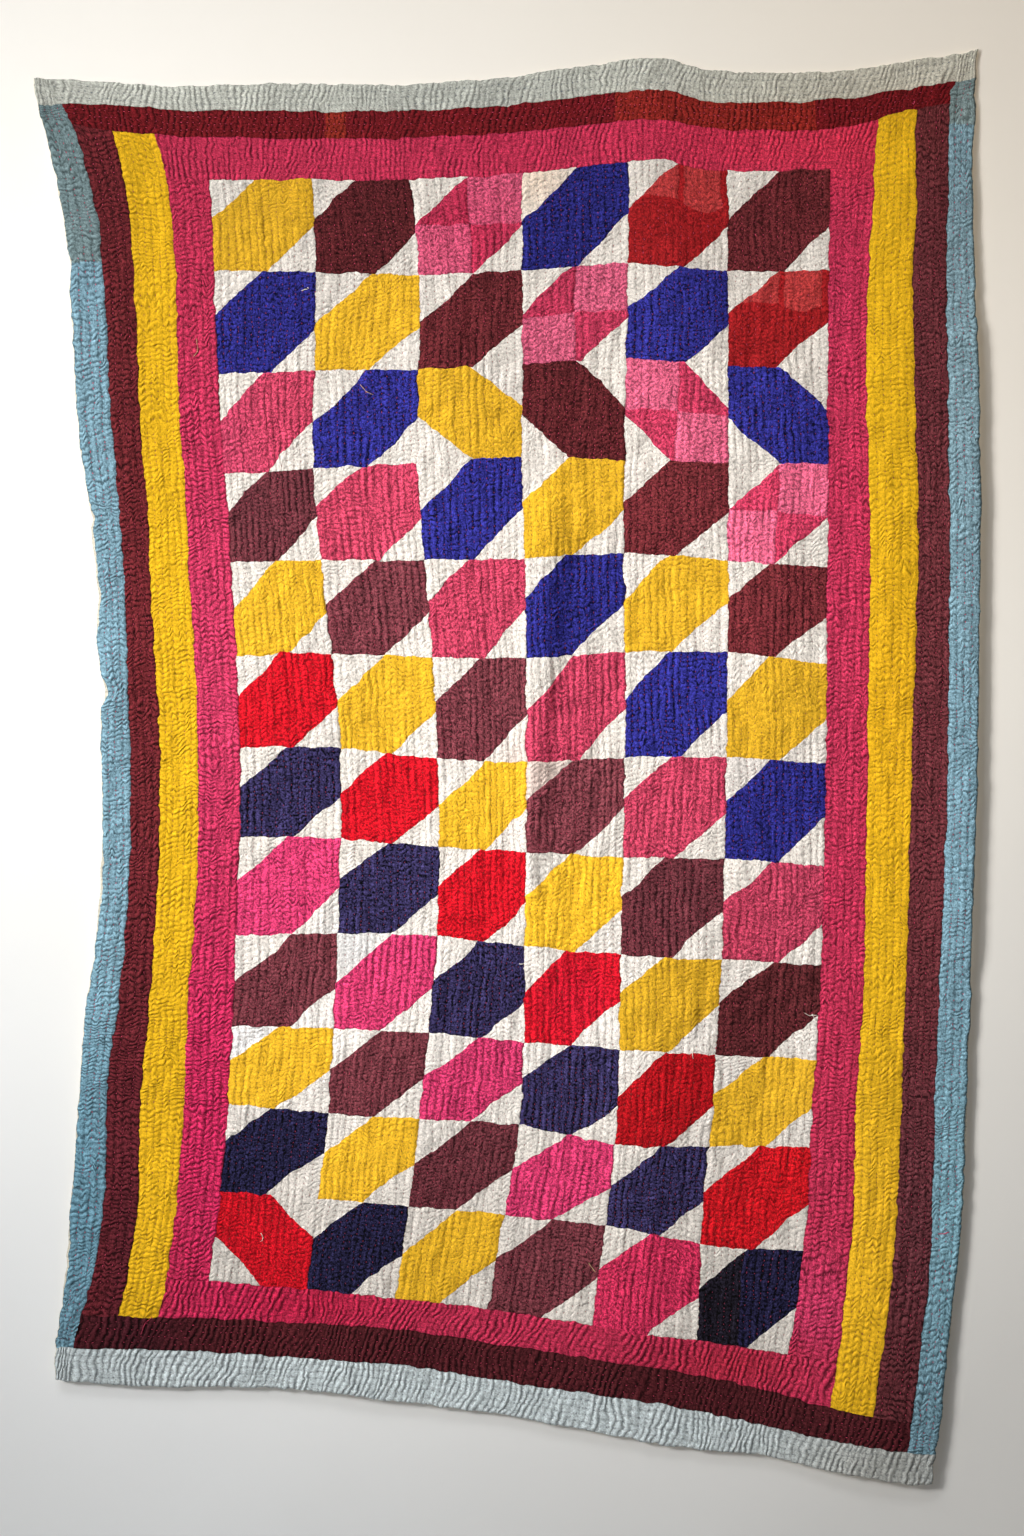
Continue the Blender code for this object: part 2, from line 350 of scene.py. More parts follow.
PITCH = 8.2                 # of the puckers and stitches along an upright row
TOP_PITCH = 8.0             # and along the level rows of the bands above the field
BOTTOM_PITCH = 9.4          # and below it
SLANT = 0.22                # how far the puckers lean over to the right
# How the puckers wander, as noises of their phase: strength, reach across and reach down
UPRIGHT_WANDER = ((4.0, 55, 80), (1.5, 6, 28))
LEVEL_WANDER = ((3.0, 80, 55), (0.5, 22, 7))
# And how the grid of the cloth drifts, and how it swells over its filling
DRIFT = ((0.48, 4.5, 4.5), (0.85, 20, 20))
SWELLING = ((0.7, 22, 22), (0.6, 14, 70))
# How strongly the cloth is puckered, down the cloth and across it
ROUGH_DOWN = ((0, 0.80), (150, 0.80), (290, 0.85), (440, 1.0), (1200, 1.05), (1700, 1.20), (1900, 1.50))
ROUGH_ACROSS = ((0, 1.25), (250, 1.20), (520, 1.0), (1100, 0.95), (1341, 0.95))
FIELD_ROUGHEST = 1.05
# How high the parts of the relief are, over the bands with level rows, the side bands and the field
RIDGES = (1.20, 1.20, 0.88)
FURROWS = (0.10, 0.34, 0.52)
CREVICES = (0.20, 0.34, 0.60)
BUMPS = (0.12, 0.12, 0.14)
GRAIN = (0.12, 0.16, 0.20)
SWELLS = (0.5, 0.6, 0.85)
TRADED = 0.45               # how much the puckers and the channels trade their heights over the field
CHANNEL_POWER = 0.75        # low powers make the quilted channels narrow
MEAN_WAVE = 0.64            # of the puckers' waves
MEAN_CHANNEL = 0.69
HELD = 0.45                 # how much of the puckers is left along a quilting row
WAVE_TONE = 0.50            # how much the waves count in the cloth's painted shade, beside the rest of the relief


def over_zones(heights):
    """A raster with one height for each kind of zone."""
    return np.array(heights)[ZONE]


def make_relief():
    """The rasters of the quilted surface: heights in millimetres, and the phases that the stitches follow."""
    level_gaps = np.interp(RASTER_Z, DOWN_SEAMS, DOWN_GAPS)
    gaps = np.where(LEVEL, level_gaps, np.interp(RASTER_X, ACROSS_SEAMS, ACROSS_GAPS))
    channel = np.abs(np.sin(np.pi * gaps))
    upright_phase = 2 * np.pi * (RASTER_Z + SLANT * RASTER_X) / PITCH
    upright_phase += noises(*UPRIGHT_WANDER)
    level_pitch = np.where(RASTER_Z < FLAT_LENGTH / 2, TOP_PITCH, BOTTOM_PITCH)
    level_phase = 2 * np.pi * (RASTER_X + SLANT * RASTER_Z) / level_pitch
    level_phase += noises(*LEVEL_WANDER)
    # some places have stronger puckers and weaker channels, and some the other way round
    trade = np.where(ZONE == FIELD, np.clip(0.40 * soft_noise(45, 45), -0.5, 0.5), 0) * TRADED
    uneven = np.where(LEVEL, soft_noise(9, 26), soft_noise(11, 9))
    ridge = (over_zones(RIDGES) + trade) * np.clip(0.85 + 0.48 * uneven, 0.15, 1.8)
    uneven = np.where(LEVEL, soft_noise(50, 14), soft_noise(14, 50))
    furrow = (over_zones(FURROWS) - trade) * np.clip(0.9 + 0.4 * uneven, 0.2, 1.6)
    crumple = over_zones(CREVICES) * np.minimum(1.1 * np.abs(soft_noise(6, 9)), 1)
    crumple += over_zones(BUMPS) * soft_noise(9, 9) + over_zones(GRAIN) * soft_noise(3.4, 3.4)
    swell = over_zones(SWELLS) * noises(*SWELLING)
    rough = np.interp(RASTER_Z, *zip(*ROUGH_DOWN)) * np.interp(RASTER_X, *zip(*ROUGH_ACROSS))
    rough = np.where(ZONE == FIELD, np.minimum(rough, FIELD_ROUGHEST), rough)
    ridge *= rough
    furrow *= rough
    crumple *= rough
    waves = np.abs(np.cos(np.where(LEVEL, level_phase, upright_phase) / 2))
    held = HELD + (1 - HELD) * channel
    raised = channel ** CHANNEL_POWER
    height = ridge * waves * held + furrow * raised + crumple
    # the same about its local mean, which sets the painted shade in the hollows and the painted highlights on
    # the ridges
    shading = WAVE_TONE * ridge * (waves - MEAN_WAVE) * held + furrow * (raised - MEAN_CHANNEL) + crumple
    spread = [shading[ZONE == zone].std() for zone in (LEVEL_BANDS, SIDE_BANDS, FIELD)]
    return height, ridge, furrow, swell, upright_phase, level_phase, spread


RELIEF, RIDGE, FURROW, SWELL, UPRIGHT_PHASE, LEVEL_PHASE, SHADING_SPREAD = make_relief()
GEOMETRY_SHARE = 0.55       # how much of the fine relief is in the mesh
BUMP_SHARE = 0.70           # and how much in the material, which can draw it finer
DRIFT_X = noises(*DRIFT)
DRIFT_Z = noises(*DRIFT)

# Creases and pulls, over the hung cloth: troughs are negative
CREASES = (
    # head x, head drop, foot x, foot drop, half width, height
    (696, -30, 550, 2, 6, -2.6),            # two pulls from the right pin
    (664, -18, 588, 9, 4, -2.2),
    (680, -25, 570, 6, 5, 1.4),
    (655, -6, 640, 60, 9, 1.6),
    (-700, 12, -640, 120, 6, -1.6),         # two channels below the left pin
    (-686, 52, -654, 150, 5, -1.6),
    (-705, 20, -560, 30, 7, 1.2),
    (222, -20, 190, 60, 7, 1.5),            # the cloth gathers under the third pin
    (226, -20, 232, 70, 6, 1.4),
    (232, -22, 280, 55, 7, 1.5),
    (212, -10, 150, 40, 8, 1.1),
    (-612, 1034, -400, 1034, 5, -1.5),      # the mark of an old fold across the left border
    (-400, 1034, -255, 1030, 4, -0.7),
    (-602, 718, -470, 722, 5, -0.9),        # lesser ones above it
    (-604, 764, -440, 768, 5, -0.9),
    (-600, 836, -470, 838, 5, -0.8),
    (-604, 876, -440, 882, 5, -0.8),
    (58, 838, 80, 520, 21, 5.5),            # an upright fold down the middle
    (54, 876, 22, 1400, 21, 5.5),
    (96, 840, 112, 600, 13, -1.3),
    (88, 876, 66, 1300, 13, -1.3),
    (-655, 262, -592, 290, 5, -1.0),        # the joins in the blue strips
    (664, 68, 702, 72, 4, -1.0),
    (664, 552, 710, 556, 4, -0.9),
    (-648, 72, -584, 80, 4, -1.0),
    (-664, 110, -646, 260, 5, -1.2),
    (-646, 120, -628, 240, 5, -1.2),
    (-150, 1925, -152, 1990, 4, -1.0),      # and in the pale strip below
    (128, 1985, 134, 2050, 4, -1.0),
)
PEEKS = (
    # where the backing shows past the left or the right edge: side, drop, half length
    (0, 700, 50),
    (0, 790, 36),
    (0, 921, 14),
    (0, 1215, 60),
    (0, 1776, 42),
    (1, 1581, 34),
)
PEEK = 2.2                  # how far the front draws back there
NOTCHES = (
    # left edge: drop, inset, half length
    (190, -3, 24),
    (282, 4, 14),
    (663, 4, 12),
    (772, 3, 34),
    (845, -3, 26),
    (922, 9, 20),
    (1010, -2, 30),
)
CREASE_HALF_WIDTH = 2.2
EDGE_START = 0.35           # where in a step from 0 to 1 the relief starts at the outer edges
EDGE_STEP = 8               # and how long the whole step is
PATCH_STEP = 0.4            # how far the coloured patches lie over the white ground
STEP_CELLS = 1.5            # how many grid cells that step takes
ROLL = 2                    # grid lines added past each edge, where the cloth turns back to the backing
# Each added line, how far it lies outward and how much of the front's rise over the backing it keeps
ROLLED_LINES = ((1, 0.5, 0.45), (0, 0.1, 0.0))
ROLL_CLEAR = 0.2            # how far the last of them stays in front of the backing


def even_step(value):
    """0 below 0, 1 above 1, and a smooth step between."""
    value = np.clip(value, 0, 1)
    return value * value * (3 - 2 * value)


# How uneven the squares are: from and up to how many grid cells their corners are cut off, and how far
# their seams and cuts bend, in parts of a square
CUT_CELLS = (25, 30)
SEAM_BEND_X = 0.034
SEAM_BEND_Z = 0.030
CUT_BOWS = (-0.024, 0.032)


def uneven_squares():
    """How many cells each square's two cut corners take, how its seams are shifted and how its cuts bow."""
    legs = RNG.integers(*CUT_CELLS, (ROWS, COLUMNS, 2))
    shift_x = RNG.uniform(-SEAM_BEND_X, SEAM_BEND_X, (ROWS + 1, COLUMNS))
    shift_z = RNG.uniform(-SEAM_BEND_Z, SEAM_BEND_Z, (ROWS, COLUMNS + 1))
    shift_x[0] = shift_x[ROWS] = 0
    shift_z[:, 0] = shift_z[:, COLUMNS] = 0
    bows = RNG.uniform(*CUT_BOWS, (ROWS, COLUMNS, 2))
    return legs, shift_x, shift_z, bows


LEGS, SHIFT_X, SHIFT_Z, BOWS = uneven_squares()
# Squares whose colour runs down to the right, as row and column
TURNED = ((2, 2), (2, 3), (2, 4), (2, 5), (11, 0))


def past_cuts(row, column, i, j):
    """How far inside each of a square's two cuts its places lie, all counted in grid cells."""
    side = COLUMN_CELLS - i if (row, column) in TURNED else i
    first, second = LEGS[row, column]
    return side + j - first, COLUMN_CELLS - side + ROW_CELLS - j - second


def warp_squares(across, down):
    """Shift the grid inside the squares, so that the corners are cut as unevenly as by hand."""
    t, s = np.meshgrid(np.linspace(0, 1, ROW_CELLS + 1), np.linspace(0, 1, COLUMN_CELLS + 1), indexing="ij")
    step_t = even_step(t)
    step_s = even_step(s)
    middle_s = 4 * s * (1 - s)
    middle_t = 4 * t * (1 - t)
    for row, column in SQUARES:
        part = square_part(row, column)
        bend_s = SHIFT_X[row, column] * (1 - step_t) + SHIFT_X[row + 1, column] * step_t
        bend_t = SHIFT_Z[row, column] * (1 - step_s) + SHIFT_Z[row, column + 1] * step_s
        mirror = (row, column) in TURNED
        past_middle = (1 - s if mirror else s) + t - 1
        first, second = BOWS[row, column]
        bow = first * np.clip(0.5 - past_middle, 0, 1) - second * np.clip(0.5 + past_middle, 0, 1)
        bow *= middle_s * middle_t
        across[part] = FIRST_COLUMN + column + s + middle_s * bend_s + (-bow if mirror else bow)
        down[part] = FIRST_ROW + row + t + middle_t * bend_t + bow


def hung_seams(across, down, flat_x, flat_z):
    """Where the cloth hangs, as x and drop, with its small drifts and the notches in its left edge."""
    x, drop = np.zeros_like(across), down
    for _ in range(SETTLING_STEPS):
        drop = read_seams(CROSS_CURVES, down, x)
        x = read_seams(UPRIGHT_CURVES, across, drop)
    x = x + read_raster(DRIFT_X, flat_x, flat_z)
    drop = drop + read_raster(DRIFT_Z, flat_x, flat_z)
    blue_share = np.clip(1 - across, 0, 1)
    for at, inset, half_length in NOTCHES:
        x += blue_share * inset * np.exp(-((drop - at) / half_length) ** 2)
    return x, drop


def square_creases(flat_x, flat_z):
    """Soft pressed creases through the middle of each square, and the sunk seams between the squares."""
    s, t = in_squares(flat_x, flat_z)
    inside = (s >= 0) & (s <= COLUMNS) & (t >= 0) & (t <= ROWS)
    sunk = 0
    for depth, apart, size in ((0.60, s % 1 - 0.5, COLUMN_WIDTH), (0.35, t % 1 - 0.5, ROW_LENGTH),
                               (0.40, (t + 0.5) % 1 - 0.5, ROW_LENGTH)):
        sunk = sunk + depth * np.exp(-(apart * size / CREASE_HALF_WIDTH) ** 2)
    return -sunk * inside


def patch_steps():
    """The coloured patches lie a cloth's thickness over the white ground."""
    step = np.zeros((len(DOWN_NUMBERS), len(ACROSS_NUMBERS)))
    j, i = np.mgrid[0:ROW_CELLS + 1, 0:COLUMN_CELLS + 1]
    for row, column in SQUARES:
        inner = np.minimum(*past_cuts(row, column, i, j))
        step[square_part(row, column)] = PATCH_STEP * np.clip(inner / STEP_CELLS, 0, 1)
    return step


def make_surface():
    """The front of the quilt as one grid: its x, drop, distance from the wall and height at each crossing."""
    down, across = np.meshgrid(DOWN_NUMBERS, ACROSS_NUMBERS, indexing="ij")
    flat_z, flat_x = np.meshgrid(DOWN_FLAT, ACROSS_FLAT, indexing="ij")
    warp_squares(across, down)
    x, drop = hung_seams(across, down, flat_x, flat_z)
    outer_shares = (np.clip(1 - across, 0, 1), -np.clip(across - len(ACROSS_STRIPS) + 1, 0, 1))
    for side, at, half_length in PEEKS:
        x += PEEK * outer_shares[side] * np.exp(-((drop - at) / half_length) ** 4)
    height = GEOMETRY_SHARE * read_raster(RELIEF, flat_x, flat_z) + read_raster(SWELL, flat_x, flat_z)
    edge = np.minimum(np.minimum(flat_x, FLAT_WIDTH - flat_x), np.minimum(flat_z, FLAT_LENGTH - flat_z))
    height = height * even_step(EDGE_START + edge / EDGE_STEP)
    for *line, half_width, rise in CREASES:
        apart, along = near_line(x, drop, *line)
        # it fades out towards its foot
        height += rise * np.exp(-(apart / half_width) ** 2) * (1 - even_step(along * 1.6 - 0.6))
    height += square_creases(flat_x, flat_z) + patch_steps()
    return x, drop, clear_of_wall(x, drop), np.maximum(height, LOWEST)


def roll_edges(x, drop, wall, height):
    """Points of the front with its outer edges turned back, one array of (x, y, z) in metres."""
    front = wall + FRONT_LEVEL + height
    x, drop, wall, front = [np.pad(values, ROLL, mode="edge") for values in (x, drop, wall, front)]
    for line, out, share in ROLLED_LINES:
        for ends, place, sign in (((line, slice(None)), drop, -1), ((-1 - line, slice(None)), drop, 1),
                                  ((slice(None), line), x, -1), ((slice(None), -1 - line), x, 1)):
            place[ends] += sign * out
            back = wall[ends] + BACKING_LEVEL + ROLL_CLEAR
            front[ends] = back + (np.maximum(front[ends], back) - back) * share
    return np.stack([x, -front, -drop], axis=-1) * MM


def rolled(places):
    """Flat places of grid lines with the rolled edges' lines added, one millimetre apart."""
    return np.pad(places, ROLL, mode="linear_ramp", end_values=(-ROLL, places[-1] + ROLL))


# The front's crossings as points in metres, and as x and z on the flat cloth
POINTS = roll_edges(*make_surface())
LINE_LENGTH = POINTS.shape[1]
CROSSINGS = POINTS.reshape(-1, 3)
FLAT_Z, FLAT_X = np.stack(np.meshgrid(rolled(DOWN_FLAT), rolled(ACROSS_FLAT), indexing="ij")).reshape(2, -1)

# ---------------------------------------------------------------- dyes, and the painted light falloff over them

DYES = {
    # as a screen shows them, red, green and blue up to 255
    "white": (250, 242, 233),
    "yellow": (246, 191, 47),
    "pink": (217, 74, 105),
    "magenta": (236, 68, 122),
    "crimson pink": (232, 58, 102),
    "pale pink": (230, 104, 138),
    "deep pink": (208, 64, 98),
    "maroon": (114, 44, 49),
    "plum": (127, 62, 71),
    "dark plum": (100, 42, 46),
    "royal": (50, 50, 144),
    "navy": (54, 48, 88),
    "dark navy": (36, 34, 66),
    "black navy": (32, 28, 40),
    "scarlet": (226, 23, 40),
    "dark scarlet": (198, 22, 32),
    "dark red": (172, 32, 36),
    "clear red": (200, 66, 66),
    "border pale": (210, 212, 202),
    "border blue": (138, 177, 195),
    "grey teal": (136, 160, 164),
    "border maroon": (120, 42, 48),
    "upper maroon": (124, 27, 34),
    "right maroon": (116, 54, 60),
    "lower maroon": (88, 33, 39),
    "lower pale": (218, 229, 232),
    "red brown": (150, 42, 36),
    "orange brown": (147, 45, 34),
    "border yellow": (242, 189, 33),
    "border pink": (208, 55, 90),
    "backing": (230, 222, 204),
}
# The squares' colours follow their column less their row, from 5 down to -11
DIAGONAL_COLOURS = ("maroon", "dark red", "royal", "quartered", "maroon", "yellow", "royal", "pink", "plum",
                    "yellow", "scarlet", "navy", "magenta", "plum", "yellow", "dark navy", "scarlet")
# Squares cut from a darker length of their cloth, as row and column
DARKER = {(8, 5): "dark plum", (9, 4): "dark scarlet", (10, 5): "dark scarlet", (11, 5): "black navy",
          (11, 4): "crimson pink"}
# Squares whose cloth is darker or lighter than its like
SHADES = {(0, 0): 0.84, (0, 1): 0.76, (0, 3): 0.70, (1, 0): 0.80, (2, 3): 0.82, (2, 4): 1.16, (3, 0): 0.80,
          (3, 1): 1.07, (3, 4): 1.20, (3, 5): 1.32, (4, 3): 0.86, (4, 5): 1.25, (5, 5): 0.92, (6, 2): 1.12,
          (6, 3): 1.18, (6, 5): 0.86, (7, 3): 1.28, (7, 4): 0.74, (7, 5): 0.88, (8, 4): 0.90, (9, 0): 1.20,
          (9, 2): 0.97, (9, 3): 1.10, (10, 0): 1.12, (10, 1): 1.11, (10, 2): 0.82, (10, 3): 1.02,
          (10, 4): 1.15, (10, 5): 1.30, (11, 0): 1.02, (11, 2): 1.10}
PATCH_CLOTHS = ("maroon", "plum", "dark red", "royal", "quartered", "yellow", "pink", "magenta", "scarlet",
                "navy", "dark navy")
REGIONS = (
    # node, left, right, upper, lower, dye: lengths of other cloth that are joined into the bands
    ("maroon_band_top", -720, 720, -50, 200, "upper maroon"),
    ("maroon_band_bottom", -720, 720, 1700, 2200, "lower maroon"),
    ("maroon_band_right", 400, 720, -50, 2200, "right maroon"),
    ("edge_band_bottom", -720, 720, 1700, 2200, "lower pale"),
    ("blue_band_left", -720, -560, -50, 279, "grey teal"),
    ("blue_band_right", 640, 720, -50, 69, "grey teal"),
    ("maroon_band_top", -270, -240, -50, 200, "orange brown"),
    ("maroon_band_top", 165, 467, -50, 200, "red brown"),
)
# Painted light falloff: how bright the dyes are painted where the light falls off, down the cloth and across
# it
PAINTED_FALLOFF_DOWN = ((-50, 0.75), (350, 0.88), (750, 1.0), (1150, 1.05), (1600, 0.96), (1950, 0.88), (2150, 0.83))
PAINTED_FALLOFF_ACROSS = ((-700, 0.80), (-450, 0.92), (-200, 1.0), (400, 1.0), (700, 0.96))
PAINTED_FALLOFF_CORNERS = 0.08       # more painted shade at the upper left and lower right
HALF_WIDTH = 700            # of the hung quilt, from its middle
HALF_DROP = 1040
PAINTED_FALLOFF_YELLOW = 0.6         # the power of the painted falloff that the yellow cloth takes
SPOTS = (
    # cloths, x, drop, reach across, reach down, factors for red, green and blue
    (("pink", "pale", "maroon"), 600, 60, 300, 120, 1.02, 0.94, 0.86),
    (("maroon",), -560, 1750, 80, 420, 0.72, 0.80, 0.95),
    (("blue",), 690, 380, 80, 420, 1.18, 1.06, 1.0),
    (("blue",), -640, 1700, 80, 300, 0.82, 0.94, 0.98),
    (("pink",), -440, 900, 90, 400, 1.02, 1.20, 1.36),
    (("pink",), 450, 700, 90, 700, 1.0, 1.12, 1.12),
    (("pink",), -440, 1600, 90, 320, 1.28, 0.84, 1.38),
    (("pink",), 430, 100, 190, 60, 1.18, 1.10, 1.0),
    (("pink",), -400, 900, 120, 250, 1.08, 1.08, 1.0),
    (("yellow",), 540, 1720, 90, 260, 1.27, 1.25, 1.9),
    (("yellow",), -510, 1720, 90, 220, 1.12, 1.12, 1.2),
    (("pale",), -560, 20, 160, 60, 1.26, 1.26, 1.26),
    (("pale",), 640, -10, 120, 60, 1.12, 1.12, 1.12),
    (("pale",), 560, 2090, 160, 90, 0.82, 0.75, 0.69),
    (("blue",), 680, 1720, 80, 260, 1.09, 1.17, 1.15),
    (("yellow",), 580, 960, 60, 220, 1.09, 1.03, 1.10),
    (("blue",), -620, 1690, 60, 220, 0.87, 0.90, 0.91),
    (("pink",), -300, 1840, 130, 50, 0.91, 0.55, 0.70),
    (("pink",), 350, 1935, 130, 40, 0.93, 0.85, 0.72),
    (("pink",), 470, 1850, 60, 90, 1.20, 1.50, 1.60),
    (("maroon",), 617, 1720, 60, 220, 1.08, 1.32, 1.36),
    (("pale",), -50, 30, 180, 60, 0.90, 0.91, 0.92),
    (("quartered",), -57, 216, 110, 110, 0.95, 0.70, 0.80),
    (("scarlet",), 102, 1383, 70, 70, 0.98, 1.35, 1.65),
    (("white",), -100, 1440, 500, 150, 1.13, 1.14, 1.16),
    (("white",), 312, 451, 70, 60, 1.18, 1.18, 1.18),
    (("white",), -381, 1447, 80, 70, 1.12, 1.17, 1.24),
    (("white",), 357, 1040, 70, 60, 0.88, 0.88, 0.90),
    (("white",), -228, 1303, 60, 60, 0.90, 0.94, 1.0),
    (("white",), 52, 1047, 60, 60, 0.91, 0.78, 0.76),
    (("white",), 48, 150, 60, 60, 1.14, 1.01, 0.90),
)


def linear(dye):
    """A dye as linear red, green and blue."""
    shown = np.array(DYES[dye]) / 255
    return np.where(shown <= 0.04045, shown / 12.92, ((shown + 0.055) / 1.055) ** 2.4)


def painted_falloff_and_spots(x, drop, cloth):
    """The painted light falloff over a cloth at hung places, with its spots of other brightness and hue, as a
    factor for each of three colours.
    """
    # painted light: darker towards the top, the bottom and the left edge, where the light falls off
    left = smooth_curve(*zip(*PAINTED_FALLOFF_DOWN))(drop) * smooth_curve(*zip(*PAINTED_FALLOFF_ACROSS))(x)
    left = left * (1 - PAINTED_FALLOFF_CORNERS * (x / HALF_WIDTH) * (drop - HALF_DROP) / HALF_DROP)
    left = left ** (PAINTED_FALLOFF_YELLOW if cloth == "yellow" else 1)
    factors = np.tile(left[:, None], (1, 3))
    for cloths, at_x, at_drop, reach_x, reach_drop, *colour in SPOTS:
        if cloth in cloths:
            near = np.exp(-((x - at_x) / reach_x) ** 2 - ((drop - at_drop) / reach_drop) ** 2)
            factors *= 1 + near[:, None] * (np.array(colour) - 1)
    return factors


def square_colour(row, column):
    """The colour of a square."""
    return DIAGONAL_COLOURS[COLUMNS - 1 - (column - row)]


# ---------------------------------------------------------------- meshes

NO_QUADS = np.zeros((0, 4), int)
NO_TRIANGLES = np.zeros((0, 3), int)


def add_mesh(name, points, quads, triangles, material):
    """Add a mesh of quads and triangles, shaded smooth. The faces keep their order, quads first."""
    mesh = bpy.data.meshes.new(name)
    mesh.vertices.add(len(points))
    mesh.vertices.foreach_set("co", np.ascontiguousarray(points, np.float32).ravel())
    corners = np.concatenate([np.ravel(quads), np.ravel(triangles)]).astype(np.int32)
    starts = np.concatenate([np.arange(len(quads)) * 4, len(quads) * 4 + np.arange(len(triangles)) * 3])
    mesh.loops.add(len(corners))
    mesh.loops.foreach_set("vertex_index", corners)
    mesh.polygons.add(len(starts))
    mesh.polygons.foreach_set("loop_start", starts.astype(np.int32))
    mesh.update(calc_edges=True)
    mesh.shade_smooth()
    mesh.materials.append(material)
    piece = bpy.data.objects.new(name, mesh)
    bpy.context.collection.objects.link(piece)
    return piece


def describe(piece, domain, **named):
    """Give a piece named attributes of numbers or of vectors, such as its places on the flat cloth."""
    for name, values in named.items():
        kind, field = ("FLOAT", "value") if values.ndim == 1 else ("FLOAT_VECTOR", "vector")
        attribute = piece.data.attributes.new(name, kind, domain)
        attribute.data.foreach_set(field, np.ascontiguousarray(values, np.float32).ravel())


def add_baking_map(piece, places):
    """Give a piece a map for baked colours, from the place of each face corner on it."""
    layer = piece.data.uv_layers.new(name="OFBake")
    layer.data.foreach_set("uv", np.ascontiguousarray(places, np.float32).ravel())


def quilting_at(flat_x, flat_z, level):
    """At flat places: how many gaps between quilting rows lie before, and the phase of the puckers."""
    if level:
        return np.interp(flat_z, DOWN_SEAMS, DOWN_GAPS), read_raster(LEVEL_PHASE, flat_x, flat_z)
    return np.interp(flat_x, ACROSS_SEAMS, ACROSS_GAPS), read_raster(UPRIGHT_PHASE, flat_x, flat_z)


def add_cloth(name, quads, triangles, tints, places, material, level=False):
    """Add a piece of the front from faces over the grid's crossings.

    tints holds each face's colour, and places each face corner's place on the map for baked colours.
    """
    used, numbers = np.unique(np.concatenate([np.ravel(quads), np.ravel(triangles)]), return_inverse=True)
    new_quads = numbers[:quads.size].reshape(-1, 4)
    new_triangles = numbers[quads.size:].reshape(-1, 3)
    piece = add_mesh(name, CROSSINGS[used], new_quads, new_triangles, material)
    flat_x, flat_z = FLAT_X[used], FLAT_Z[used]
    rows, phase = quilting_at(flat_x, flat_z, level)
    describe(piece, "POINT", flat=np.stack([flat_x, flat_z, np.zeros(len(used))], axis=-1),
             ridge=read_raster(RIDGE, flat_x, flat_z), furrow=read_raster(FURROW, flat_x, flat_z),
             rows=rows, phase=phase)
    describe(piece, "FACE", tint=tints)
    add_baking_map(piece, places)
    return piece


def declare_front(piece, node):
    """Attach a cloth of the front to the root body, and hide the solid that it stands for."""
    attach(piece, "root")
    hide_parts(node)


def grid_faces(first_line, last_line, first_post, last_post, line_length):
    """The faces between lines and posts of a grid, each as four crossings with its front to the viewer."""
    line, post = np.mgrid[first_line:last_line, first_post:last_post]
    corner = (line * line_length + post).ravel()
    return np.stack([corner, corner + line_length, corner + line_length + 1, corner + 1], axis=-1)


def mean_place(faces):
    """The hung x and drop of the middle of each face."""
    middle = CROSSINGS[faces].mean(axis=1) / MM
    return middle[:, 0], -middle[:, 2]


# ---------------------------------------------------------------- the bands


def folded_map(quads):
    """Map places for a long strip, cut into lengths that lie side by side."""
    x = FLAT_X[quads]
    z = FLAT_Z[quads]
    if np.ptp(x) > np.ptp(z):
        x, z = z, x
    width = np.ptp(x)
    count = max(1, round(math.sqrt(np.ptp(z) / width)))
    length = np.ptp(z) / count
    part = np.clip(((z.min(axis=1) - z.min()) / length).astype(int), 0, count - 1)[:, None]
    # a little is left free between the lengths
    u = (part + 0.03 + 0.94 * (x - x.min()) / width) / count
    v = 0.01 + 0.96 * (z - z.min() - part * length) / length
    return np.stack([u, v], axis=-1)


def band_tints(node, cloth, quads):
    """The colour of each face of a band, with the other cloths that are joined into it, and the painted light
    falloff over it.
    """
    tints = np.tile(linear("border " + cloth), (len(quads), 1))
    x, drop = mean_place(quads)
    for where, left, right, upper, lower, dye in REGIONS:
        if where == node:
            tints[(x > left) & (x < right) & (drop > upper) & (drop < lower)] = linear(dye)
    return tints * painted_falloff_and_spots(x, drop, cloth)


def span(lines, first, last):
    """The grid lines from one seam to another, with the rolled edge's own past the outermost seams."""
    start = lines[first] + (ROLL if first > 0 else 0)
    return start, lines[last] + (ROLL if last < len(lines) - 1 else 2 * ROLL)


def add_bands():
    """The strips round the field, each on its own solid's place."""
    for node, cloth, left, right, upper, lower in FRONT_PIECES:
        level = runs_level(node)
        quads = grid_faces(*span(DOWN_LINES, upper, lower), *span(ACROSS_LINES, left, right), LINE_LENGTH)
        material = cloth_material(node + "_cotton", cloth, LEVEL_BANDS if level else SIDE_BANDS)
        piece = add_cloth(node + "_cloth", quads, NO_TRIANGLES, band_tints(node, cloth, quads),
                          folded_map(quads), material, level)
        declare_front(piece, node)


# ---------------------------------------------------------------- the field

# The flat area of a square's coloured patch and of its white ground, in parts of the square
CELL_MARGIN = 0.02          # free edge round a square's cell of the map for baked colours
NAVY_FROM = 0.44            # where the black and navy square turns navy, in parts of its width
TINT_SPREAD = 0.02          # how unlike each other squares of one cloth are


def worn_sheer(s, t):
    """Where the dark red squares are worn sheer, in parts of a square. A dark stripe is left in it."""
    arch = 0.34 + 0.10 * np.sin(np.clip((s - 0.5) * 2.2, 0, 1) * np.pi)
    return (t < arch) & (s > 0.12) & (s < 0.93) & (np.abs(s - 0.52) >= 0.03)


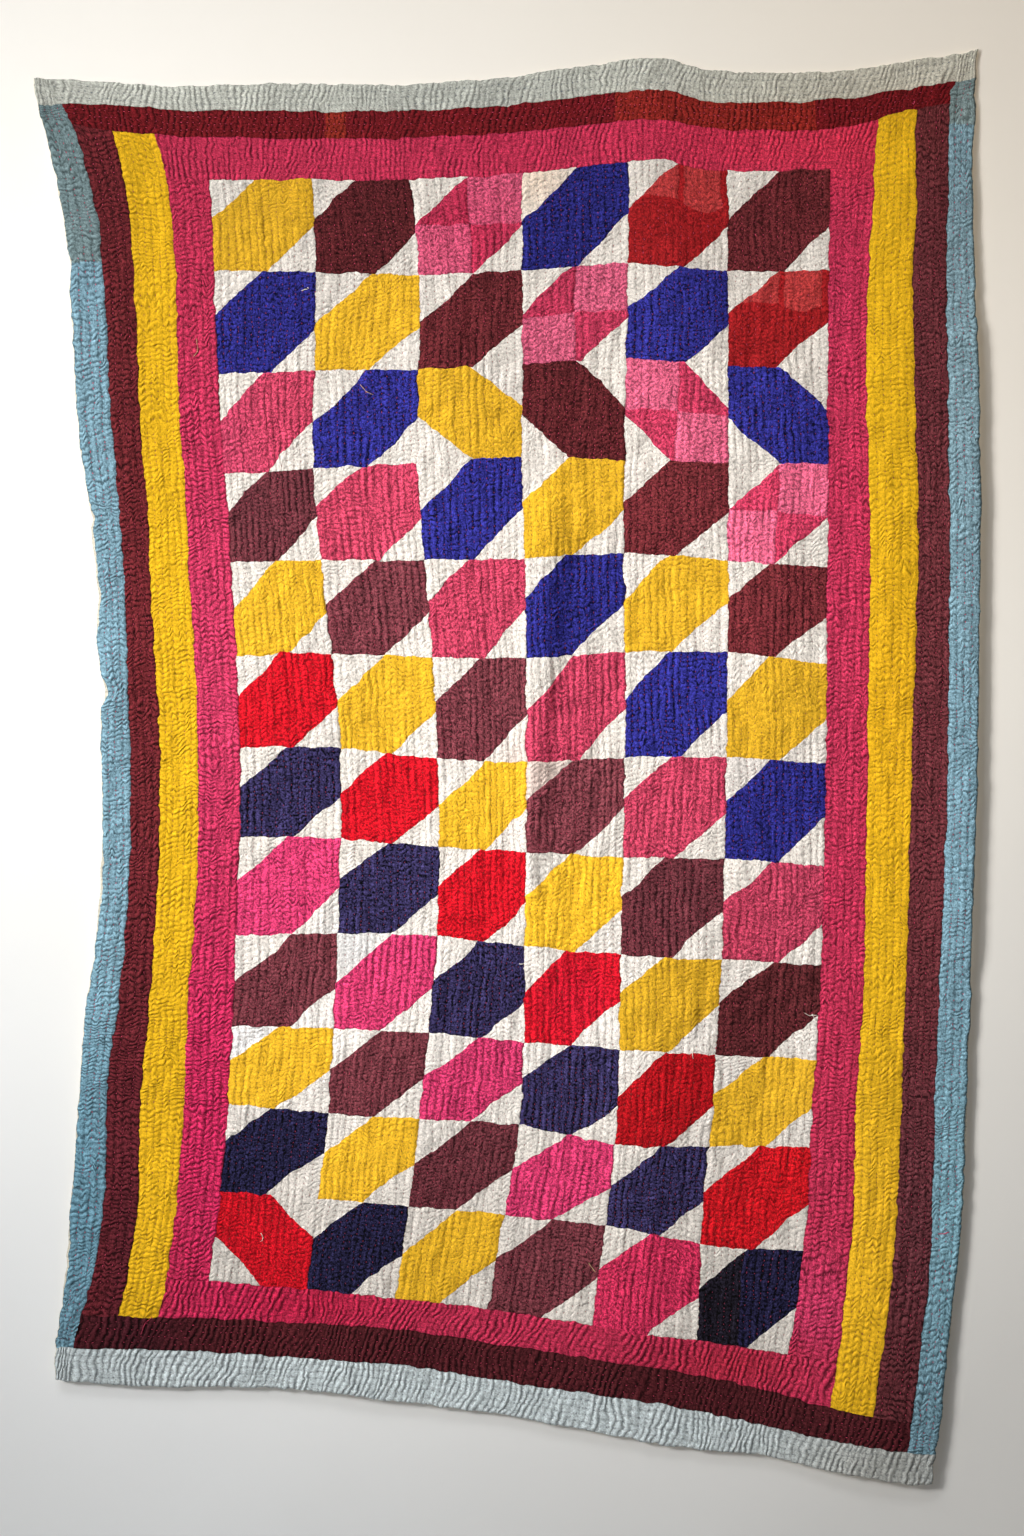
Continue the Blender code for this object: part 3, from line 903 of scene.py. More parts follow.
def square_faces(row, column, is_white):
    """The quads and the triangles of a square's coloured patch, or of its white corners."""
    lines, posts = square_part(row, column)
    quads = grid_faces(ROLL + lines.start, ROLL + lines.stop - 1, ROLL + posts.start, ROLL + posts.stop - 1,
                       LINE_LENGTH)
    j, i = np.mgrid[0:ROW_CELLS, 0:COLUMN_CELLS].reshape(2, -1) + 0.5
    past_first, past_second = past_cuts(row, column, i, j)
    # a turned square's first cut takes its upper right corner, and the others' their upper left one
    outer, inner = ((2, 3, 0), (0, 1, 2)) if (row, column) in TURNED else ((0, 1, 3), (1, 2, 3))
    if is_white:
        outer, inner = inner, outer
        whole = (past_first < 0) | (past_second < 0)
    else:
        whole = (past_first > 0) & (past_second > 0)
    return quads[whole], np.concatenate([quads[past_first == 0][:, inner], quads[past_second == 0][:, outer]])


def cell_map(faces, row, column, cell, count):
    """Map places of a square's faces in one cell of a map of count by count cells."""
    s, t = in_squares(FLAT_X[faces], FLAT_Z[faces])
    u = (cell % count + CELL_MARGIN + (1 - 2 * CELL_MARGIN) * (s - column)) / count
    v = (cell // count + CELL_MARGIN + (1 - 2 * CELL_MARGIN) * (t - row)) / count
    return np.stack([u, v], axis=-1).reshape(-1, 2)


def patch_tints(quads, triangles, row, column):
    """The colours of a coloured patch's quads and triangles, with its quarters or its second cloth, and the
    painted light falloff over it.
    """
    faces = np.concatenate([quads[:, :3], triangles])
    colour = square_colour(row, column)
    dye = DARKER.get((row, column), "pink" if colour == "quartered" else colour)
    tints = np.tile(linear(dye), (len(faces), 1))
    s, t = in_squares(FLAT_X[faces].mean(axis=1), FLAT_Z[faces].mean(axis=1))
    s = s - column
    t = t - row
    if colour == "quartered":
        pale = ((s < 0.5) == (t < 0.5)) == ((row, column) in TURNED)
        tints[pale] = linear("pale pink")
        tints[~pale] = linear("deep pink")
    if (row, column) == (11, 5):
        tints[s > NAVY_FROM] = linear("dark navy")
    if colour == "dark red":
        tints[worn_sheer(s, t)] = linear("clear red")
    shade = SHADES.get((row, column), 1) + TINT_SPREAD * RNG.standard_normal()
    return np.split(tints * shade * painted_falloff_and_spots(*mean_place(faces), colour), [len(quads)])


def white_tints(quads, triangles, row, column):
    """The colours of the quads and triangles of a square's white corners, with the painted light falloff over
    them.
    """
    shade = 1 + TINT_SPREAD * math.sin(7.3 * row + 4.1 * column)
    return [linear("white") * shade * painted_falloff_and_spots(*mean_place(faces), "white") for faces in (quads, triangles)]


def add_patches(cloth, is_white=False):
    """All patches of a cloth as one piece, or the white ground between the patches."""
    squares = [square for square in SQUARES if is_white or square_colour(*square) == cloth]
    count = math.ceil(math.sqrt(len(squares)))
    parts = []
    for cell, square in enumerate(squares):
        faces = square_faces(*square, is_white)
        tints = (white_tints if is_white else patch_tints)(*faces, *square)
        parts.append((*faces, *tints, *[cell_map(kind, *square, cell, count) for kind in faces]))
    # of each kind the quads come first, and then the triangles
    quads, triangles, *others = [np.concatenate(kind) for kind in zip(*parts)]
    name = cloth.replace(" ", "_")
    piece = add_cloth("patches_" + name, quads, triangles, np.concatenate(others[:2]),
                      np.concatenate(others[2:]), cloth_material(name + "_cotton", cloth, FIELD))
    declare_front(piece, "patchwork_field")


def add_field():
    """The white ground and the patches over it, joined cloth by cloth."""
    add_patches("white", True)
    for cloth in PATCH_CLOTHS:
        add_patches(cloth)


# ---------------------------------------------------------------- the backing

BACKING_ROW_CELLS = 9       # how many of the backing's grid cells span a row of squares
BACKING_SWELL = 0.8         # how far the backing swells to the rear between its quilting rows
BACKING_OUT = 1.3           # how far it reaches past the front's left and right edges
BACKING_FURROW = 0.6        # the depth of the channels along its quilting rows


def has_level_rows(flat_x, flat_z):
    """Whether flat places lie in the bands whose quilting rows are level."""
    return read_raster(LEVEL.astype(float), flat_x, flat_z) > 0.5


def backing_surface():
    """The backing's points, its faces, and the flat place and the swell at each of its crossings."""
    across = seam_numbers([2 * gaps for _, _, gaps, _ in ACROSS_STRIPS])
    down = seam_numbers([BACKING_ROW_CELLS if name == "row" else 2 * gaps
                         for name, _, gaps, _ in DOWN_STRIPS])
    down, across = np.meshgrid(down, across, indexing="ij")
    flat_x = np.interp(across, ACROSS_NUMBERS, ACROSS_FLAT)
    flat_z = np.interp(down, DOWN_NUMBERS, DOWN_FLAT)
    x, drop = hung_seams(across, down, flat_x, flat_z)
    x[:, 0] -= BACKING_OUT
    x[:, -1] += BACKING_OUT
    # every other grid line is a quilting row, and the cloth swells between them
    line, post = np.indices(across.shape)
    between_rows = np.where(has_level_rows(flat_x, flat_z), line, post) % 2
    swell = between_rows * (0.8 + 0.2 * np.sin(3 * read_raster(UPRIGHT_PHASE, flat_x, flat_z)))
    swell[0] = 0
    swell[-1] = 0
    wall = clear_of_wall(x, drop) + BACKING_LEVEL - BACKING_SWELL * swell
    points = np.stack([x, -wall, -drop], axis=-1).reshape(-1, 3) * MM
    lines, posts = across.shape
    flat = np.stack([flat_x, flat_z, np.zeros_like(flat_x)], axis=-1).reshape(-1, 3)
    return points, grid_faces(0, lines - 1, 0, posts - 1, posts), flat, swell.ravel()


def add_backing():
    """The backing, one sheet behind everything, which shows as a thin line past the front's edges."""
    points, quads, flat, swell = backing_surface()
    piece = add_mesh("backing_sheet", points, quads, NO_TRIANGLES,
                     cloth_material("backing_cotton", "backing", FIELD))
    # each face follows the rows of the band that its middle lies in
    middle = np.repeat(flat[quads].mean(axis=1), 4, axis=0)
    level = has_level_rows(middle[:, 0], middle[:, 1])
    corner_x, corner_z, _ = flat[quads].reshape(-1, 3).T
    rows, phase = [np.where(level, *pair) for pair in zip(quilting_at(corner_x, corner_z, True),
                                                          quilting_at(corner_x, corner_z, False))]
    describe(piece, "POINT", flat=flat, ridge=swell, furrow=(1 - swell) * BACKING_FURROW)
    describe(piece, "CORNER", rows=rows, phase=phase)
    describe(piece, "FACE", tint=np.tile(linear("backing"), (len(quads), 1)))
    add_baking_map(piece, flat[quads][:, :, :2] / (FLAT_WIDTH, FLAT_LENGTH) * 0.98 + 0.01)
    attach(piece, "root")
    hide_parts("backing_cloth")
    return piece


# ---------------------------------------------------------------- materials


def put(tree, kind, inputs=(), **settings):
    """Add a node. inputs pairs a socket's name or number with a value or with another node's output."""
    item = tree.nodes.new(kind)
    for name, value in settings.items():
        setattr(item, name, value)
    for socket, value in inputs:
        if isinstance(value, bpy.types.NodeSocket):
            tree.links.new(value, item.inputs[socket])
        else:
            item.inputs[socket].default_value = value
    return item


def maths(tree, operation, *values):
    """The output of a Math node."""
    return put(tree, "ShaderNodeMath", enumerate(values), operation=operation).outputs[0]


def chain(tree, operation, *values):
    """The sum or the product of several values."""
    return functools.reduce(lambda result, value: maths(tree, operation, result, value), values)


def ranged(tree, value, from_low, from_high, to_low, to_high):
    """A value mapped from one range to another, and held inside it."""
    inputs = (("Value", value), ("From Min", from_low), ("From Max", from_high),
              ("To Min", to_low), ("To Max", to_high))
    return put(tree, "ShaderNodeMapRange", inputs).outputs[0]


def noise(tree, vector, size, detail, stretch):
    """Noise with features about size millimetres large, stretched along the flat cloth."""
    scaled = put(tree, "ShaderNodeVectorMath", ((0, vector), (1, [1 / (size * s) for s in stretch])),
                 operation="MULTIPLY").outputs[0]
    inputs = (("Vector", scaled), ("Scale", 1.0), ("Detail", detail), ("Roughness", 0.55))
    return put(tree, "ShaderNodeTexNoise", inputs, noise_dimensions="2D").outputs[0]


def new_material(name):
    """A new material, with its node tree and its shader."""
    material = bpy.data.materials.new(name)
    material.use_nodes = True
    return material, material.node_tree, material.node_tree.nodes["Principled BSDF"]


def shaded(tree, shader, shade, colour):
    """Give a shader a colour, made lighter or darker by a shade."""
    tone = put(tree, "ShaderNodeHueSaturation", (("Value", shade), ("Color", colour)))
    tree.links.new(tone.outputs[0], shader.inputs["Base Color"])


NOISES = (
    # size of the features, detail, stretch along the flat cloth
    (55, 3.0, (1, 1, 1)),           # patches of wear
    (2.2, 1.0, (14, 1, 1)),         # level streaks
    (1.8, 1.0, (1, 16, 1)),         # upright streaks
    (5.5, 1.0, (1, 1, 1)),          # crumples
    (3.2, 1.5, (1, 1, 1)),          # grain
    (1.7, 1.0, (1, 1, 1)),          # specks
)
THREAD_PITCH = 0.62         # between the threads of the plain weave
WEAVE_HEIGHT = 0.03
WEAVE_SHADE = 0.03
PIT_SHADE = 0.62            # brightness of the painted shade where a stitch pulls the cloth in
DARKEST = 0.04              # how dark the painted shade of a hollow may be
FINE_SHADE = 0.17           # how strong the fine streaks and specks are, of the way from hollow to ridge
SHADE_REACH = (1.05, 1.15, 1.30)    # how many spreads of the relief reach full shade, for each kind of zone
CLOTH_LOOKS = {
    # cloth: fade between its patches of wear, brightness of the painted shade in its hollows and of the
    # painted highlights on its ridges, roughness
    "pale": (0.07, 0.50, 1.20, 0.88),
    "blue": (0.08, 0.42, 1.24, 0.88),
    "maroon": (0.08, 0.20, 1.40, 0.86),
    "plum": (0.07, 0.20, 1.44, 0.86),
    "yellow": (0.05, 0.66, 1.08, 0.86),
    "pink": (0.07, 0.30, 1.34, 0.84),
    "magenta": (0.08, 0.30, 1.36, 0.84),
    "white": (0.03, 0.62, 1.06, 0.90),
    "dark red": (0.06, 0.42, 1.28, 0.84),
    "royal": (0.08, 0.10, 1.62, 0.86),
    "quartered": (0.07, 0.34, 1.32, 0.82),
    "scarlet": (0.08, 0.36, 1.34, 0.86),
    "navy": (0.08, -0.12, 1.84, 0.88),
    "dark navy": (0.10, -0.20, 1.98, 0.88),
    "backing": (0.06, 0.80, 1.00, 0.90),
}


def cloth_material(name, cloth, zone):
    """Worn, quilted cotton: the dye, faded in places, with painted shade in the hollows and painted
    highlights on the ridges, and a plain weave.
    """
    fade, hollow, top, roughness = CLOTH_LOOKS[cloth]
    material, tree, shader = new_material(name)
    flat, tint = [put(tree, "ShaderNodeAttribute", attribute_name=kind).outputs["Vector"]
                  for kind in ("flat", "tint")]
    rows, phase, ridge, furrow = [put(tree, "ShaderNodeAttribute", attribute_name=kind).outputs["Fac"]
                                  for kind in ("rows", "phase", "ridge", "furrow")]
    wear, streak, upright, crumple, grain, speck = [noise(tree, flat, *kind) for kind in NOISES]
    # the quilting: 0 along each stitched row and in each pucker's valley, 1 on the tops between
    channel = maths(tree, "ABSOLUTE", maths(tree, "SINE", maths(tree, "MULTIPLY", rows, math.pi)))
    uneven = maths(tree, "ADD", phase, ranged(tree, grain, 0.25, 0.75, -0.5, 0.5))
    wave = maths(tree, "ABSOLUTE", maths(tree, "COSINE", maths(tree, "MULTIPLY", uneven, 0.5)))
    wave = maths(tree, "SUBTRACT", wave, MEAN_WAVE)
    held = maths(tree, "MULTIPLY_ADD", channel, 1 - HELD, HELD)
    waves = chain(tree, "MULTIPLY", ridge, wave, held)
    raised = maths(tree, "SUBTRACT", maths(tree, "POWER", channel, CHANNEL_POWER), MEAN_CHANNEL)
    crevice = maths(tree, "ABSOLUTE", maths(tree, "SUBTRACT", crumple, 0.5))
    # this relief counts in the painted shade below, and in the bump
    relief = chain(tree, "ADD", maths(tree, "MULTIPLY", furrow, raised),
                   ranged(tree, crevice, 0.0, 0.08, -0.7 * CREVICES[zone], 0.2 * CREVICES[zone]),
                   ranged(tree, grain, 0.2, 0.8, -2.2 * GRAIN[zone], 2.2 * GRAIN[zone]))
    # painted highlights on the ridges and painted shade in the hollows, more so on the dark cloths; the
    # lighter ridges stand partly for wear too
    spread = SHADE_REACH[zone] * SHADING_SPREAD[zone]
    shade = ranged(tree, maths(tree, "MULTIPLY_ADD", waves, WAVE_TONE, relief), -spread, spread, hollow, top)
    shade = maths(tree, "MAXIMUM", shade, DARKEST)
    fine = FINE_SHADE * (top - hollow)
    marks = [ranged(tree, kind, 0.3, 0.7, 1 - strength, 1 + strength)
             for kind, strength in ((wear, fade), (streak, 0.6 * fine), (upright, 0.8 * fine), (speck, fine))]
    # painted shade in a small pit round each stitch
    pit = maths(tree, "MULTIPLY", maths(tree, "POWER", maths(tree, "SUBTRACT", 1.0, channel), 2.0),
                maths(tree, "POWER", maths(tree, "SUBTRACT", 1.0 - MEAN_WAVE, wave), 1.5))
    split = put(tree, "ShaderNodeSeparateXYZ", ((0, flat),))
    warp, weft = [maths(tree, "SINE", maths(tree, "MULTIPLY", split.outputs[axis], math.pi / THREAD_PITCH))
                  for axis in (0, 1)]
    weave = maths(tree, "MULTIPLY", warp, weft)
    shade = chain(tree, "MULTIPLY", shade, *marks, ranged(tree, pit, 0.15, 0.9, 1.0, PIT_SHADE),
                  ranged(tree, weave, -1, 1, 1 - WEAVE_SHADE, 1 + WEAVE_SHADE))
    shaded(tree, shader, shade, tint)
    # heights in millimetres, over what the mesh already has
    relief = maths(tree, "MULTIPLY", maths(tree, "ADD", relief, waves), BUMP_SHARE)
    relief = maths(tree, "ADD", relief, maths(tree, "MULTIPLY", weave, WEAVE_HEIGHT))
    bump = put(tree, "ShaderNodeBump", (("Strength", 1.0), ("Distance", MM), ("Height", relief)))
    tree.links.new(bump.outputs[0], shader.inputs["Normal"])
    worn = ranged(tree, wear, 0.2, 0.8, roughness - 0.05, roughness + 0.05)
    tree.links.new(worn, shader.inputs["Roughness"])
    shader.inputs["Specular IOR Level"].default_value = 0.08
    shader.inputs["Sheen Weight"].default_value = 0.02
    shader.inputs["Sheen Roughness"].default_value = 0.5
    return material


def thread_material(name, colour):
    """Twisted cotton thread."""
    material, tree, shader = new_material(name)
    place = put(tree, "ShaderNodeTexCoord").outputs["Object"]
    grain = put(tree, "ShaderNodeTexNoise", (("Vector", place), ("Scale", 260.0), ("Detail", 1.0))).outputs[0]
    shaded(tree, shader, ranged(tree, grain, 0.3, 0.7, 0.75, 1.2), (*colour, 1))
    shader.inputs["Roughness"].default_value = 0.7
    shader.inputs["Specular IOR Level"].default_value = 0.3
    return material


# ---------------------------------------------------------------- stitches

STITCH_HALF = 1.5           # half the length of a stitch that shows
STITCH_HALF_WIDTH = 0.55
STITCH_RISE = 0.50
ROW_END = 3                 # how far from its ends a quilting row is free of stitches
THREADS = {
    # name: colour as a screen shows it
    "red": (196, 62, 92),
    # painted shade: the dark thread, used on the yellow and scarlet cloths, stands for the shade in the
    # stitch dimples as much as for thread
    "dark": (140, 66, 60),
    # painted shade: the rose thread, on the white ground, is darkened in part for the shade in the stitch
    # dimples
    "rose": (160, 98, 90),
    "slate": (86, 94, 108),
    "wine": (150, 52, 82),
    "white": (238, 230, 218),
    "straw": (190, 158, 120),
}
STITCHED_WITH = {
    # cloth: its thread, and the share of its stitches that shows
    "pale": ("slate", 0.85),
    "blue": ("red", 0.75),
    "maroon": ("red", 0.7),
    "plum": ("red", 0.5),
    "yellow": ("dark", 0.8),
    "pink": ("red", 0.45),
    "magenta": ("red", 0.45),
    "white": ("rose", 0.8),
    "dark red": ("red", 0.4),
    "royal": ("wine", 0.75),
    "quartered": ("red", 0.4),
    "scarlet": ("dark", 0.4),
    "navy": ("wine", 0.7),
    "dark navy": ("wine", 0.6),
}
FIELD_PIECE = ("patchwork_field", "field", FIRST_COLUMN, FIRST_COLUMN + COLUMNS, FIRST_ROW, FIRST_ROW + ROWS)
FRONT_GRID = POINTS[ROLL:-ROLL, ROLL:-ROLL]     # the crossings without the rolled edges


def quilting_rows():
    """Each quilting row as its cloth, whether it runs level, its flat place and its two ends."""
    rows = []
    for node, cloth, left, right, upper, lower in FRONT_PIECES + (FIELD_PIECE,):
        across = (ACROSS_SEAMS[left], ACROSS_SEAMS[right])
        down = (DOWN_SEAMS[upper], DOWN_SEAMS[lower])
        level = runs_level(node)
        (start, end), ends = (down, across) if level else (across, down)
        gaps = DOWN_GAPS[lower] - DOWN_GAPS[upper] if level else ACROSS_GAPS[right] - ACROSS_GAPS[left]
        rows += [(cloth, level, start + (end - start) * gap / gaps, ends) for gap in range(1, gaps)]
    return rows


def stitches_along(level, place, ends):
    """The middles of a row's stitches, which sit where the puckers dip, as flat x and z."""
    along = np.arange(ends[0] + ROW_END, ends[1] - ROW_END, 1.0)
    across = np.full_like(along, place)
    x, z = (along, across) if level else (across, along)
    phase = np.maximum.accumulate(read_raster(LEVEL_PHASE if level else UPRIGHT_PHASE, x, z))
    turns = np.arange(math.ceil(phase[0] / (2 * np.pi)), math.floor(phase[-1] / (2 * np.pi)))
    middle = np.interp(2 * np.pi * (turns + 0.5), phase, along)
    middle = middle + RNG.normal(0, 0.5, len(middle))
    side = place + RNG.normal(0, 0.3, len(middle))
    return (middle, side) if level else (side, middle)


def cloth_under(flat_x, flat_z):
    """The cloth of the field at flat places."""
    found = []
    for s, t in zip(*in_squares(flat_x, flat_z)):
        column = min(max(int(s), 0), COLUMNS - 1)
        row = min(max(int(t), 0), ROWS - 1)
        inner = min(past_cuts(row, column, (s - column) * COLUMN_CELLS, (t - row) * ROW_CELLS))
        found.append("white" if inner < 0 else square_colour(row, column))
    return found


def on_surface(flat_x, flat_z, rise):
    """Points over the quilt's front at flat places, as (x, y, z) in metres."""
    post = np.interp(flat_x, ACROSS_FLAT, np.arange(len(ACROSS_FLAT)))
    line = np.interp(flat_z, DOWN_FLAT, np.arange(len(DOWN_FLAT)))
    points = between_crossings(FRONT_GRID, line, post)
    points[..., 1] -= rise * MM
    return points


def add_thread(name, points, quads, triangles, thread, material_name):
    """Add threads of one colour as one piece, which rides on the quilt."""
    colour = (np.array(THREADS[thread]) / 255) ** 2.2
    piece = add_mesh(name, points.reshape(-1, 3), quads, triangles, thread_material(material_name, colour))
    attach(piece, "root")
    return piece


def add_stitches():
    """All running stitches, as small raised threads, joined by thread colour."""
    gathered = {thread: [] for thread in sorted({thread for thread, _ in STITCHED_WITH.values()})}
    for cloth, level, place, ends in quilting_rows():
        x, z = stitches_along(level, place, ends)
        cloths = cloth_under(x, z) if cloth == "field" else [cloth] * len(x)
        for *stitch, under, chance in zip(x, z, cloths, RNG.random(len(x))):
            thread, share = STITCHED_WITH[under]
            if chance < share:
                gathered[thread].append((*stitch, level))
    for thread, stitches in gathered.items():
        x, z, level = np.array(stitches).T
        level = level > 0
        half = STITCH_HALF * RNG.uniform(0.75, 1.2, len(x))
        along_x = np.where(level, half, RNG.normal(0, 0.25, len(x)))
        along_z = np.where(level, RNG.normal(0, 0.25, len(x)), half)
        side_x = np.where(level, 0, STITCH_HALF_WIDTH)
        side_z = np.where(level, STITCH_HALF_WIDTH, 0)
        points = np.stack([
            on_surface(x - along_x, z - along_z, -0.1),
            on_surface(x - side_x, z - side_z, 0.02),
            on_surface(x + along_x, z + along_z, -0.1),
            on_surface(x + side_x, z + side_z, 0.02),
            on_surface(x, z, STITCH_RISE),
        ], axis=1)
        upright_faces = np.array([(0, 1, 4), (1, 2, 4), (2, 3, 4), (3, 0, 4)])
        faces = np.where(level[:, None, None], upright_faces[:, ::-1], upright_faces)
        faces = (faces + np.arange(len(x))[:, None, None] * 5).reshape(-1, 3)
        piece = add_thread("stitches_" + thread, points, NO_QUADS, faces, thread, thread + "_thread")
        # each stitch has its own cell of the map for baked colours
        count = math.ceil(math.sqrt(len(x)))
        cell = faces.ravel() // 5
        places = np.array([(0.1, 0.1), (0.9, 0.1), (0.9, 0.9), (0.1, 0.9), (0.5, 0.5)])[faces.ravel() % 5]
        add_baking_map(piece, (places + np.stack([cell % count, cell // count], axis=-1)) / count)


LOOSE_THREADS = (
    # thread, x, drop, length, heading from straight down towards the right, turn on the way, in degrees
    ("red", -528, 1858, 36, -26, 12),
    ("straw", -465, 391, 32, 38, -95),
    ("straw", -218, 459, 24, 30, 45),
    ("white", 21, 1330, 12, 65, 70),
    ("white", -368, 1736, 19, 65, -125),
    ("red", 648, 1736, 20, 99, 0),
    ("red", 646, 1744, 5, 60, 10),
    ("white", -296, 321, 11, -82, 10),
    ("white", -297, 318, 5, 40, 330),
    ("red", 613, 42, 9, 150, 20),
    ("white", 698, -33, 8, 200, 120),
    ("white", 470, 1408, 23, -88, -12),
    ("white", 459, 1407, 11, 36, 5),
    ("straw", 125, 1780, 17, 32, 10),
    ("white", 281, 1458, 19, 2, 6),
)
THREAD_RADIUS = 0.5
THREAD_RISE = 0.6           # of a loose thread's middle over the cloth
STEPS = np.linspace(0, 1, 13)       # along a loose thread
ROUND = np.linspace(0, 2 * np.pi, 6, endpoint=False)    # the angles of a loose thread's sides


def flat_near(x, drop):
    """The flat place of the crossing that hangs nearest to a place."""
    apart = (FRONT_GRID[..., 0] / MM - x) ** 2 + (FRONT_GRID[..., 2] / MM + drop) ** 2
    line, post = np.unravel_index(np.argmin(apart), apart.shape)
    return ACROSS_FLAT[post], DOWN_FLAT[line]


def thread_tube(x, drop, length, heading, turn):
    """The points of a loose thread, as one array of its steps by its sides."""
    start_x, start_z = flat_near(x, drop)
    angle = np.radians(heading + turn * STEPS)
    path_x = start_x + np.cumsum(np.sin(angle)) * length / len(STEPS)
    path_z = start_z + np.cumsum(np.cos(angle)) * length / len(STEPS)
    # its end tapers off
    radius = THREAD_RADIUS * np.sqrt(np.clip(1 - STEPS ** 8, 0.05, 1))[:, None]
    side_x = path_x[:, None] + radius * np.cos(ROUND) * np.cos(angle)[:, None]
    side_z = path_z[:, None] - radius * np.cos(ROUND) * np.sin(angle)[:, None]
    return on_surface(side_x, side_z, THREAD_RISE + radius * np.sin(ROUND))


def add_loose_threads():
    """Ends of thread that lie loose on the front, as bent tubes, joined by thread colour."""
    step, side = np.mgrid[0:len(STEPS) - 1, 0:len(ROUND)].reshape(2, -1)
    low = step * len(ROUND)
    after = (side + 1) % len(ROUND)
    faces = np.stack([low + side, low + after, low + after + len(ROUND), low + side + len(ROUND)], axis=-1)
    for thread in ("red", "white", "straw"):
        tubes = np.array([thread_tube(*shape) for name, *shape in LOOSE_THREADS if name == thread])
        starts = np.arange(len(tubes))[:, None, None] * len(STEPS) * len(ROUND)
        add_thread("loose_threads_" + thread, tubes, (starts + faces).reshape(-1, 4), NO_TRIANGLES, thread,
                   "loose_" + thread)


# ---------------------------------------------------------------- wall, floor, light and camera

WALL_BACK = 0.002           # how far behind the cloth's back the wall stands, in metres
FLOOR = -2.5                # how high the floor lies, from the quilt's top edge
STAGE_REACH = 6
VIEW_MIDDLE = (0.0105, -1.038)      # x and z that the camera looks at, in metres
VIEW_HEIGHT = 2.304
CAMERA_AWAY = 4.6
CLOTH_FRONT = 0.015         # how far the cloth stands out, on average
SENSOR = 36
LAMPS = (
    # name, place, target, size, power, colour, spread
    ("window", (-4.4, -3.4, 0.6), (-0.1, 0, -0.95), 1.5, 23, (1.0, 0.985, 0.96), 0.65),
    ("skylight", (-1.6, -2.4, 2.6), (0, 0, -0.8), 1.5, 39, (1.0, 0.99, 0.98), 2.2),
    ("warm_lamp", (1.9, -2.4, 1.5), (0.85, 0, 0.1), 0.8, 0.6, (1.0, 0.66, 0.30), 0.8),
)
BACK_LAMP = ("back_light", (2.6, 1.3, 1.0), (0, 0, -1.1), 1.2, 105, (1.0, 0.985, 0.96), math.pi)
ROOM_COLOUR = (0.93, 0.96, 1.0, 1)
ROOM_LIGHT = 0.15
# the plaster's own colour, and its colour where warm light is painted on it at the upper right
COOL_PAINT = (0.83, 0.845, 0.85, 1)
WARM_LIT_PAINT = (0.85, 0.80, 0.72, 1)


def stage_plane(name, corners, material):
    """A flat backdrop through four corners."""
    mesh = bpy.data.meshes.new(name)
    mesh.from_pydata(corners, [], [(0, 1, 2, 3)])
    mesh.materials.append(material)
    plane = bpy.data.objects.new(name, mesh)
    bpy.context.collection.objects.link(plane)
    return plane


def plaster(name, one_sided):
    """Pale plaster with painted warm light towards the upper right and painted shade at the lower right,
    which may be seen from the front only.
    """
    material, tree, shader = new_material(name)
    place = put(tree, "ShaderNodeTexCoord").outputs["Object"]
    grain = put(tree, "ShaderNodeTexNoise", (("Vector", place), ("Scale", 2.2), ("Detail", 3.0))).outputs[0]
    split = put(tree, "ShaderNodeSeparateXYZ", ((0, place),))
    # painted light: warmer towards the upper right, and painted shade: greyer at the lower right
    upward = maths(tree, "ADD", split.outputs[2], 1.04)
    rightward = maths(tree, "ADD", split.outputs[0], upward)
    painted_warm_light = ranged(tree, rightward, -1.5, 1.6, 0, 1)
    mixed_paint = ((0, painted_warm_light), (6, COOL_PAINT), (7, WARM_LIT_PAINT))
    paint = put(tree, "ShaderNodeMix", mixed_paint, data_type="RGBA").outputs[2]
    painted_shade_low_right = maths(tree, "SUBTRACT", split.outputs[0], split.outputs[2])
    shade = maths(tree, "MULTIPLY", ranged(tree, grain, 0.3, 0.7, 0.98, 1.01),
                  ranged(tree, painted_shade_low_right, 1.7, 2.7, 1.0, 0.80))
    shaded(tree, shader, shade, paint)
    shader.inputs["Roughness"].default_value = 0.9
    if one_sided:
        behind = put(tree, "ShaderNodeNewGeometry").outputs["Backfacing"]
        clear = put(tree, "ShaderNodeBsdfTransparent").outputs[0]
        mixed = put(tree, "ShaderNodeMixShader", ((0, behind), (1, shader.outputs[0]), (2, clear)))
        tree.links.new(mixed.outputs[0], tree.nodes["Material Output"].inputs["Surface"])
    return material


